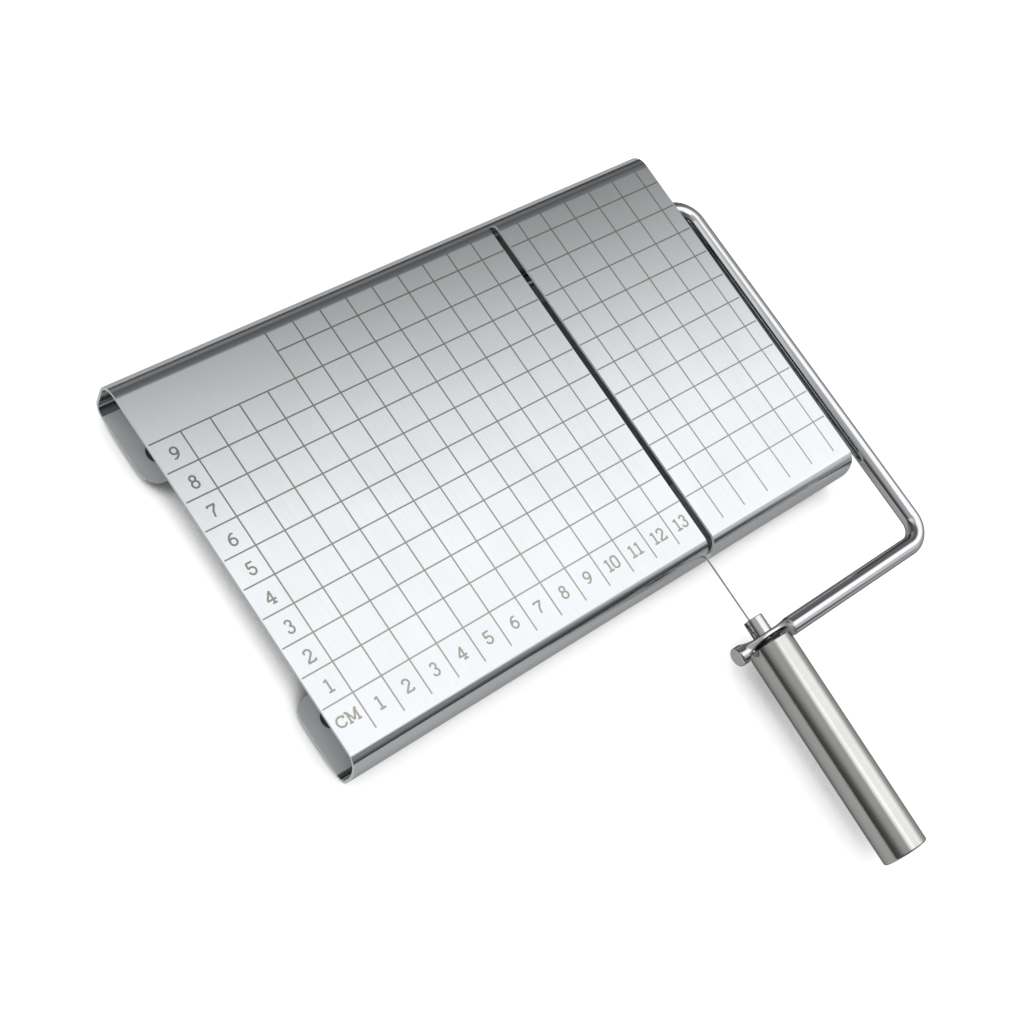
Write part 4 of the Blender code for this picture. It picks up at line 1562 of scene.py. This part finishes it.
    def stud_hole(self) -> Shape:
        """Return the cutter for the stud's hole, with a small flare at each rim."""
        stud = measure("tension_stud", self.layout.eyelet, self.layout.outwards)
        bore = stud.radius + self.stud_gap
        shape = turned(
            [
                (0, self.eyelet_rear - self.overrun),
                (bore + self.rim_flare + self.overrun, self.eyelet_rear - self.overrun),
                (bore, self.eyelet_rear + self.rim_flare), (bore, self.eyelet_front - self.rim_flare),
                (bore + self.rim_flare + self.overrun, self.eyelet_front + self.overrun),
                (0, self.eyelet_front + self.overrun),
            ],
            64,
        )
        return placed(shape, self.layout.handle_matrix())

    def wire_matrix(self) -> Matrix:
        """Return the matrix that stands local Z along the wire."""
        front_low, front_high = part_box("wire_ferrule_front")
        rear_low, rear_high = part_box("wire_ferrule_rear")
        ahead = (front_low + front_high) / 2 - (rear_low + rear_high) / 2
        along = ahead.normalized()
        side = along.cross(Z_AXIS).normalized()
        return axes_matrix(self.layout.pivot, side, along)

    def wire_bore(self) -> Shape:
        """Return the cutter for the wire's stepped hole through the leg."""
        matrix = self.wire_matrix()
        along = matrix.to_3x3() @ Z_AXIS
        ferrule = measure("wire_ferrule_rear", self.layout.pivot, along)
        step = ferrule.high + self.ferrule_gap
        far = self.rod_radius + self.overrun
        shape = turned(
            [
                (0, -far), (ferrule.radius + self.ferrule_gap, -far),
                (ferrule.radius + self.ferrule_gap, step), (self.wire_hole, step),
                (self.wire_hole, far), (0, far),
            ],
            28,
        )
        return placed(shape, matrix)

    def rings(self) -> None:
        """Make the open retaining rings in the leg's grooves."""
        pivot = self.layout.pivot
        for side in SIDES:
            node = f"ring_{side}"
            reach = measure(node, Vector((0, pivot.y, pivot.z)), X_AXIS)
            bore = self.rod_radius - self.groove_depth + self.groove_gap
            shape = bmesh.new()
            start = self.ring_mouth / 2
            corners = []
            outer, low, high = reach.radius, reach.low, reach.high
            for out, x in ((bore, low), (outer, low), (outer, high), (bore, high)):
                spot = Matrix.Rotation(start, 3, "X") @ Vector((0, 0, -out))
                corners.append(shape.verts.new((x, pivot.y + spot.y, pivot.z + spot.z)))
            section = shape.faces.new(corners)
            centre = (reach.low, pivot.y, pivot.z)
            bmesh.ops.spin(
                shape, geom=[section], cent=centre, axis=X_AXIS, angle=math.tau - self.ring_mouth, steps=44
            )
            soften(shape, self.groove_gap, 2)
            self.workshop.piece(f"clip_{side}", shape, SPRING_STEEL, Body.FRAME, "spring_steel", [node])

    def wire(self) -> None:
        """Stretch the wire and crimp its ferrules."""
        matrix = self.wire_matrix()
        along = matrix.to_3x3() @ Z_AXIS
        reach = measure("cutting_wire", self.layout.pivot, along)
        radius = self.wire_radius
        shape = turned([(0, reach.low), (radius, reach.low), (radius, reach.high), (0, reach.high)], 20)
        placed(shape, matrix)
        self.workshop.piece("slicing_wire", shape, DRAWN_WIRE, Body.FRAME, "wire_steel", ["cutting_wire"])
        for side in ("rear", "front"):
            node = f"wire_ferrule_{side}"
            ferrule = measure(node, self.layout.pivot, along)
            bore = self.wire_radius + self.groove_gap * 1.5
            waist = ferrule.radius * 0.9
            length = ferrule.high - ferrule.low
            shape = turned(
                [
                    (bore, ferrule.low), (ferrule.radius, ferrule.low),
                    (ferrule.radius, ferrule.low + length * 0.3), (waist, ferrule.low + length * 0.42),
                    (waist, ferrule.low + length * 0.58), (ferrule.radius, ferrule.low + length * 0.7),
                    (ferrule.radius, ferrule.high), (bore, ferrule.high), (bore, ferrule.low),
                ],
                32,
            )
            soften(shape, self.groove_gap, 2)
            placed(shape, matrix)
            self.workshop.piece(f"crimp_{side}", shape, TURNED_STEEL, Body.FRAME, "stud_steel", [node])

    def washer(self) -> None:
        """Turn the dark washer between the eyelet and the handle."""
        reach = measure("tension_washer", self.layout.eyelet, self.layout.outwards)
        shape = ring(self.washer_bore, reach)
        soften(shape, self.washer_rounding, 3)
        placed(shape, self.layout.handle_matrix())
        self.workshop.piece(
            "thrust_washer", shape, BLACK_NYLON, Body.FRAME, "black_nylon", ["tension_washer"]
        )


@dataclass
class TensionStud:
    """The turned stud with its keyhole for the wire's front ferrule."""

    layout: Layout
    workshop: Workshop
    shank_radius: float = 2.35 * MM
    shank_length: float = 20.0 * MM
    shank_chamfer: float = 0.6 * MM
    edge_round: float = 0.3 * MM
    seat_wall: float = 1.4 * MM
    pocket_width: float = 3.0 * MM
    pocket_front: float = -2.7 * MM
    wire_side_set: float = 1.3 * MM
    groove_radius: float = 0.6 * MM
    overrun: float = 1.0 * MM

    def build(self) -> None:
        """Turn the stud and cut its keyhole."""
        reach = measure("tension_stud", self.layout.eyelet, self.layout.outwards)
        shoulder = reach.high - self.shank_length
        shape = turned(
            [
                (0, reach.low), (reach.radius, reach.low), (reach.radius, shoulder),
                (self.shank_radius, shoulder), (self.shank_radius, reach.high - self.shank_chamfer),
                (self.shank_radius - self.shank_chamfer, reach.high), (0, reach.high),
            ],
            64,
        )
        soften(shape, self.edge_round, 4)
        placed(shape, self.layout.handle_matrix())
        seat = reach.low + self.seat_wall
        pocket = self.side_cutter(reach, self.pocket_width / 2, seat, self.pocket_front)
        groove = self.side_cutter(reach, self.groove_radius, reach.low - self.overrun, seat + self.overrun)
        self.workshop.piece(
            "turned_stud", shape, TURNED_STEEL, Body.STUD, "stud_steel", ["tension_stud"], [pocket, groove]
        )

    def side_cutter(self, reach: Reach, half_width: float, low: float, high: float) -> Shape:
        """Return a cutter that opens the stud from its left side to past the wire.

        Args:
            reach: Reach of the stud.
            half_width: Half the width of the cut, and the radius of its round end.
            low: Where the cut starts along the stud.
            high: Where it ends.

        Returns:
            The cutter in place.
        """
        shape = bmesh.new()
        end = -self.wire_side_set + half_width
        add_block(
            shape, Vector((-reach.radius - self.overrun, -half_width, low)),
            Vector((end, half_width, high)),
        )
        inner = edges_beyond(shape, X_AXIS, end - WELD_DISTANCE)
        uprights = [edge for edge in inner if abs(edge.verts[0].co.z - edge.verts[1].co.z) > WELD_DISTANCE]
        round_edges(shape, uprights, half_width - WELD_DISTANCE * 10, 10)
        return placed(shape, self.layout.handle_matrix())


@dataclass
class Handle:
    """The satin tube with its plug and its end disc."""

    layout: Layout
    workshop: Workshop
    wall: float = 1.0 * MM
    top_round: float = 0.5 * MM
    end_round: float = 0.7 * MM
    fit_gap: float = 0.15 * MM
    thread_radius: float = 2.55 * MM
    groove_width: float = 0.5 * MM
    groove_depth: float = 0.15 * MM
    disc_round: float = 0.35 * MM

    def build(self) -> None:
        """Make the tube, the plug and the disc."""
        self.tube()
        self.plug()
        self.disc()

    def reach(self, node: str) -> Reach:
        """Measure a node of the handle about its axis."""
        return measure(node, self.layout.eyelet, self.layout.outwards)

    def tube(self) -> None:
        """Turn the tube and round its rims."""
        reach = self.reach("handle_tube")
        bore = reach.radius - self.wall
        shape = ring(bore, reach, 96)
        self.round_rim(shape, reach.radius, reach.low, self.top_round)
        self.round_rim(shape, reach.radius, reach.high, self.end_round)
        self.round_rim(shape, bore, reach.low, self.fit_gap)
        self.round_rim(shape, bore, reach.high, self.fit_gap)
        placed(shape, self.layout.handle_matrix())
        self.workshop.piece("grip_tube", shape, SATIN_TUBE, Body.HANDLE, "satin_steel", ["handle_tube"])

    @staticmethod
    def round_rim(shape: Shape, radius: float, height: float, width: float) -> None:
        """Round one circular edge of a turned shape.

        Args:
            shape: The shape about Z.
            radius: Radius of the edge.
            height: Height of the edge.
            width: Width of the rounding.
        """
        near = width / 10
        rims = [
            edge
            for edge in shape.edges
            if all(
                abs(vertex.co.z - height) < near and abs(vertex.co.xy.length - radius) < near
                for vertex in edge.verts
            )
        ]
        round_edges(shape, rims, width, 5)

    def plug(self) -> None:
        """Turn the threaded plug in the tube's top."""
        shape = ring(self.thread_radius, self.reach("handle_plug"))
        soften(shape, self.disc_round, 3)
        placed(shape, self.layout.handle_matrix())
        self.workshop.piece("threaded_plug", shape, STRAP_STEEL, Body.HANDLE, "strap_steel", ["handle_plug"])

    def disc(self) -> None:
        """Turn the closing disc with two shallow rings in its face."""
        reach = self.reach("handle_end_disc")
        face = [(0, reach.high - self.groove_depth), (self.groove_width, reach.high - self.groove_depth / 2)]
        for share in (0.42, 0.74):
            middle = reach.radius * share
            face += [
                (middle - self.groove_width, reach.high),
                (middle - self.groove_width / 2, reach.high - self.groove_depth),
                (middle + self.groove_width / 2, reach.high - self.groove_depth),
                (middle + self.groove_width, reach.high),
            ]
        face += [(reach.radius, reach.high), (reach.radius, reach.low), (0, reach.low)]
        shape = turned(face, 96)
        self.round_rim(shape, reach.radius, reach.high, self.disc_round)
        placed(shape, self.layout.handle_matrix())
        self.workshop.piece(
            "grip_end_disc", shape, SATIN_TUBE, Body.HANDLE, "satin_steel", ["handle_end_disc"]
        )


@dataclass(frozen=True)
class Softbox:
    """A soft rectangular lamp that is aimed at a point."""

    name: str
    place: Vector
    aim: Vector
    size: tuple[float, float]
    radiance: float
    colour: Colour = (1.0, 1.0, 1.0)

    def hang(self) -> None:
        """Add the lamp to the scene."""
        lamp = bpy.data.lights.new(self.name, "AREA")
        lamp.shape = "RECTANGLE"
        lamp.size, lamp.size_y = self.size
        lamp.energy = self.radiance * math.pi * self.size[0] * self.size[1]
        lamp.color = self.colour
        item = bpy.data.objects.new(self.name, lamp)
        item.location = self.place
        item.rotation_euler = (self.aim - self.place).to_track_quat("-Z", "Y").to_euler()
        bpy.context.scene.collection.objects.link(item)
        log.info("lamp %s", self.name)


@dataclass(frozen=True)
class SoftPanel:
    """A bright patch of the surroundings, with the edges of its two sides in degrees."""

    depth: Edges
    side: Edges
    strength: float

    def light(
        self, tree: NodeTree, depth: Socket, side: Socket
    ) -> Socket:
        """Add the panel's light.

        Args:
            tree: The world's node tree.
            depth: Socket of the angle that the first edges bound.
            side: Socket of the angle that the second edges bound.

        Returns:
            The light's socket.
        """
        inside = tree.calculate("MULTIPLY", tree.patch(depth, self.depth), tree.patch(side, self.side))
        return tree.calculate("MULTIPLY", inside, self.strength)


@dataclass
class Studio:
    """The camera, the floor and the soft light."""

    camera_place: Vector = field(default_factory=lambda: Vector((-0.283103, -0.051082, 0.460101)))
    camera_right: Vector = field(default_factory=lambda: Vector((0.739035, -0.561702, 0.371910)))
    camera_forward: Vector = field(default_factory=lambda: Vector((0.513255, 0.111894, -0.850911)))
    lens: float = 59.36
    sensor: float = 36.0
    shift: tuple[float, float] = (-0.0625, 0.0566)
    floor_half: float = 6.0
    floor_colours: tuple[Colour, Colour] = ((0.55, 0.55, 0.55), (0.54, 0.54, 0.54))
    floor_lift: float = 0.95
    mirrored_share: float = 0.08
    shade_reach: float = 0.022
    shade_depth: float = 0.7
    cover_reach: float = 0.1
    cover_samples: int = 16
    shade_samples: int = 8
    cover_gain: float = 2.4
    horizon: float = 0.001
    slant: float = 0.15
    slant_pivot: float = 0.4
    overhead: SoftPanel = SoftPanel((-40, -15, 12, 27), (-12, 16, 36, 84), 0.83)
    wing: SoftPanel = SoftPanel((-40, -15, 12, 27), (-70, -35, 36, 84), 0.29)
    front_glow: SoftPanel = SoftPanel((-90, -89, -50, -30), (-12, 16, 36, 84), 0.16)
    rear_glow: SoftPanel = SoftPanel((50, 64, 89, 90), (-12, 16, 36, 84), 0.18)
    rear_left_fill: SoftPanel = SoftPanel((5, 16, 28, 45), (-75, -60, -40, 0), 0.48)
    right_wall: SoftPanel = SoftPanel((-54, -46, -5, 45), (-10, 8, 30, 55), 0.5)
    even_light: float = 0.75
    wall_light: float = 0.04
    ceiling_light: float = 0.16
    panel_colour: Colour = (0.99, 1.0, 1.01)

    def build(self) -> None:
        """Set up the camera, the floor, the surroundings and the lamps."""
        self.aim_camera()
        self.lay_floor()
        self.surround()
        for lamp in self.lamps():
            lamp.hang()
        bpy.context.scene.view_settings.view_transform = "Standard"

    def aim_camera(self) -> None:
        """Stand the camera where the picture was taken from."""
        data = bpy.data.cameras.new("camera")
        data.lens = self.lens
        data.sensor_width = self.sensor
        data.shift_x, data.shift_y = self.shift
        data.clip_start = 0.01
        camera = bpy.data.objects.new("camera", data)
        forward = self.camera_forward.normalized()
        right = (self.camera_right - forward * self.camera_right.dot(forward)).normalized()
        camera.matrix_world = axes_matrix(self.camera_place, right, -forward)
        bpy.context.scene.collection.objects.link(camera)
        bpy.context.scene.camera = camera

    def lay_floor(self) -> None:
        """Lay a pale floor that keeps the object's shadow, deepened by painted shadow in its glow."""
        shape = bmesh.new()
        bmesh.ops.create_grid(shape, x_segments=2, y_segments=2, size=self.floor_half)
        mesh = bpy.data.meshes.new("floor")
        shape.to_mesh(mesh)
        shape.free()
        floor = bpy.data.objects.new("floor", mesh)
        bpy.context.scene.collection.objects.link(floor)
        mesh.materials.append(self.floor_material())

    def floor_material(self) -> bpy.types.Material:
        """Return a white paper floor whose glow reads as white where nothing stands over it and is dimmed
        near and under the object as painted shadow.
        """
        graph = Graph("paper_floor")
        fibre = graph.noise((300, 300, 300), 3)
        graph.connect(graph.blend(graph.spread(fibre, 0, 1), *self.floor_colours), "Base Color")
        graph.shader.inputs["Roughness"].default_value = 0.9
        graph.shader.inputs["Specular IOR Level"].default_value = 0.1
        path = graph.add("LightPath")
        glossy, passing = path.outputs["Is Glossy Ray"], path.outputs["Is Transmission Ray"]
        mirrored = graph.calculate("MAXIMUM", glossy, passing)
        mirrored = graph.calculate("MULTIPLY", mirrored, self.mirrored_share)
        seen = graph.calculate("MAXIMUM", path.outputs["Is Camera Ray"], mirrored)
        # Ambient occlusion dims the floor's glow beside the object: painted shadow.
        openness = graph.add("AmbientOcclusion")
        openness.samples = self.shade_samples
        openness.inputs["Distance"].default_value = self.shade_reach
        opened = graph.calculate("POWER", openness.outputs["AO"], self.shade_depth)
        glow = graph.add("Emission")
        # A wider ambient occlusion, pushed hard, turns the glow off under the board: painted shadow there.
        cover = graph.add("AmbientOcclusion")
        cover.samples = self.cover_samples
        cover.inputs["Distance"].default_value = self.cover_reach
        unshadowed = graph.calculate("MINIMUM", graph.spread(cover.outputs["AO"], 0, self.cover_gain), 1.0)
        lift = graph.calculate("MULTIPLY", graph.calculate("MULTIPLY", seen, opened), self.floor_lift)
        lift = graph.calculate("MULTIPLY", lift, unshadowed)
        graph.link(lift, glow.inputs["Strength"])
        added = graph.add("AddShader")
        graph.link(graph.shader.outputs["BSDF"], added.inputs[0])
        graph.link(glow.outputs["Emission"], added.inputs[1])
        graph.link(added.outputs["Shader"], graph.output.inputs["Surface"])
        return graph.material

    def surround(self) -> None:
        """Light the room by a broad soft panel overhead that fades into dim walls."""
        world = bpy.data.worlds.new("studio")
        bpy.context.scene.world = world
        world.use_nodes = True
        tree = NodeTree(world.node_tree)
        split = tree.add("SeparateXYZ")
        tree.link(tree.add("TexCoord").outputs["Generated"], split.inputs["Vector"])
        x, y, z = (split.outputs[axis] for axis in "XYZ")
        height = tree.calculate("MAXIMUM", z, self.horizon)
        rightwards = tree.calculate("ARCTAN2", x, height)
        rearwards = tree.calculate("ARCTAN2", y, height)
        slanted = tree.calculate("ADD", y, tree.calculate("MULTIPLY", x, self.slant))
        pivot = tree.calculate("MULTIPLY", height, self.slant * self.slant_pivot)
        slanted = tree.calculate("ARCTAN2", tree.calculate("SUBTRACT", slanted, pivot), height)
        bearing = tree.calculate("ARCTAN2", y, tree.calculate("MAXIMUM", x, self.horizon))
        rise = tree.calculate("ARCSINE", z, 0.0)
        slanted_panels = (self.overhead, self.wing, self.front_glow, self.rear_glow)
        lit = [panel.light(tree, slanted, rightwards) for panel in slanted_panels]
        lit.append(self.rear_left_fill.light(tree, rearwards, rightwards))
        lit.append(self.right_wall.light(tree, bearing, rise))
        light = tree.remap(height, 0.0, 1.0, self.wall_light, self.ceiling_light, soft=True)
        for panel_light in lit:
            light = tree.calculate("ADD", light, panel_light)
        chosen = tree.add("Mix")
        path = tree.add("LightPath")
        tree.link(path.outputs["Is Diffuse Ray"], chosen.inputs["Factor"])
        tree.link(light, chosen.inputs["A"])
        chosen.inputs["B"].default_value = self.even_light
        shade = tree.add("Background")
        strength = tree.calculate("MAXIMUM", chosen.outputs["Result"], path.outputs["Is Camera Ray"])
        tree.link(strength, shade.inputs["Strength"])
        shade.inputs["Color"].default_value = (*self.panel_colour, 1)
        tree.link(shade.outputs["Background"], tree.add("OutputWorld").inputs["Surface"])

    def lamps(self) -> list[Softbox]:
        """Return the lamps: one small softbox overhead that deepens the shadow a little."""
        return [Softbox("key", Vector((0.05, -0.25, 1.3)), Vector((0, 0, 0.02)), (0.5, 0.5), 0.6)]


def main() -> None:
    """Build every piece of the slicer and the studio round it."""
    layout = Layout.read()
    workshop = Workshop()
    studio = Studio()
    board = FoldedBoard(layout, workshop)
    parts = [
        studio, board, Scale(board), Feet(workshop), BearingStraps(layout, workshop),
        SwingFrame(layout, workshop), TensionStud(layout, workshop), Handle(layout, workshop),
    ]
    for part in parts:
        log.info("building %s", type(part).__name__)
        part.build()


if __name__ == "__main__":
    main()
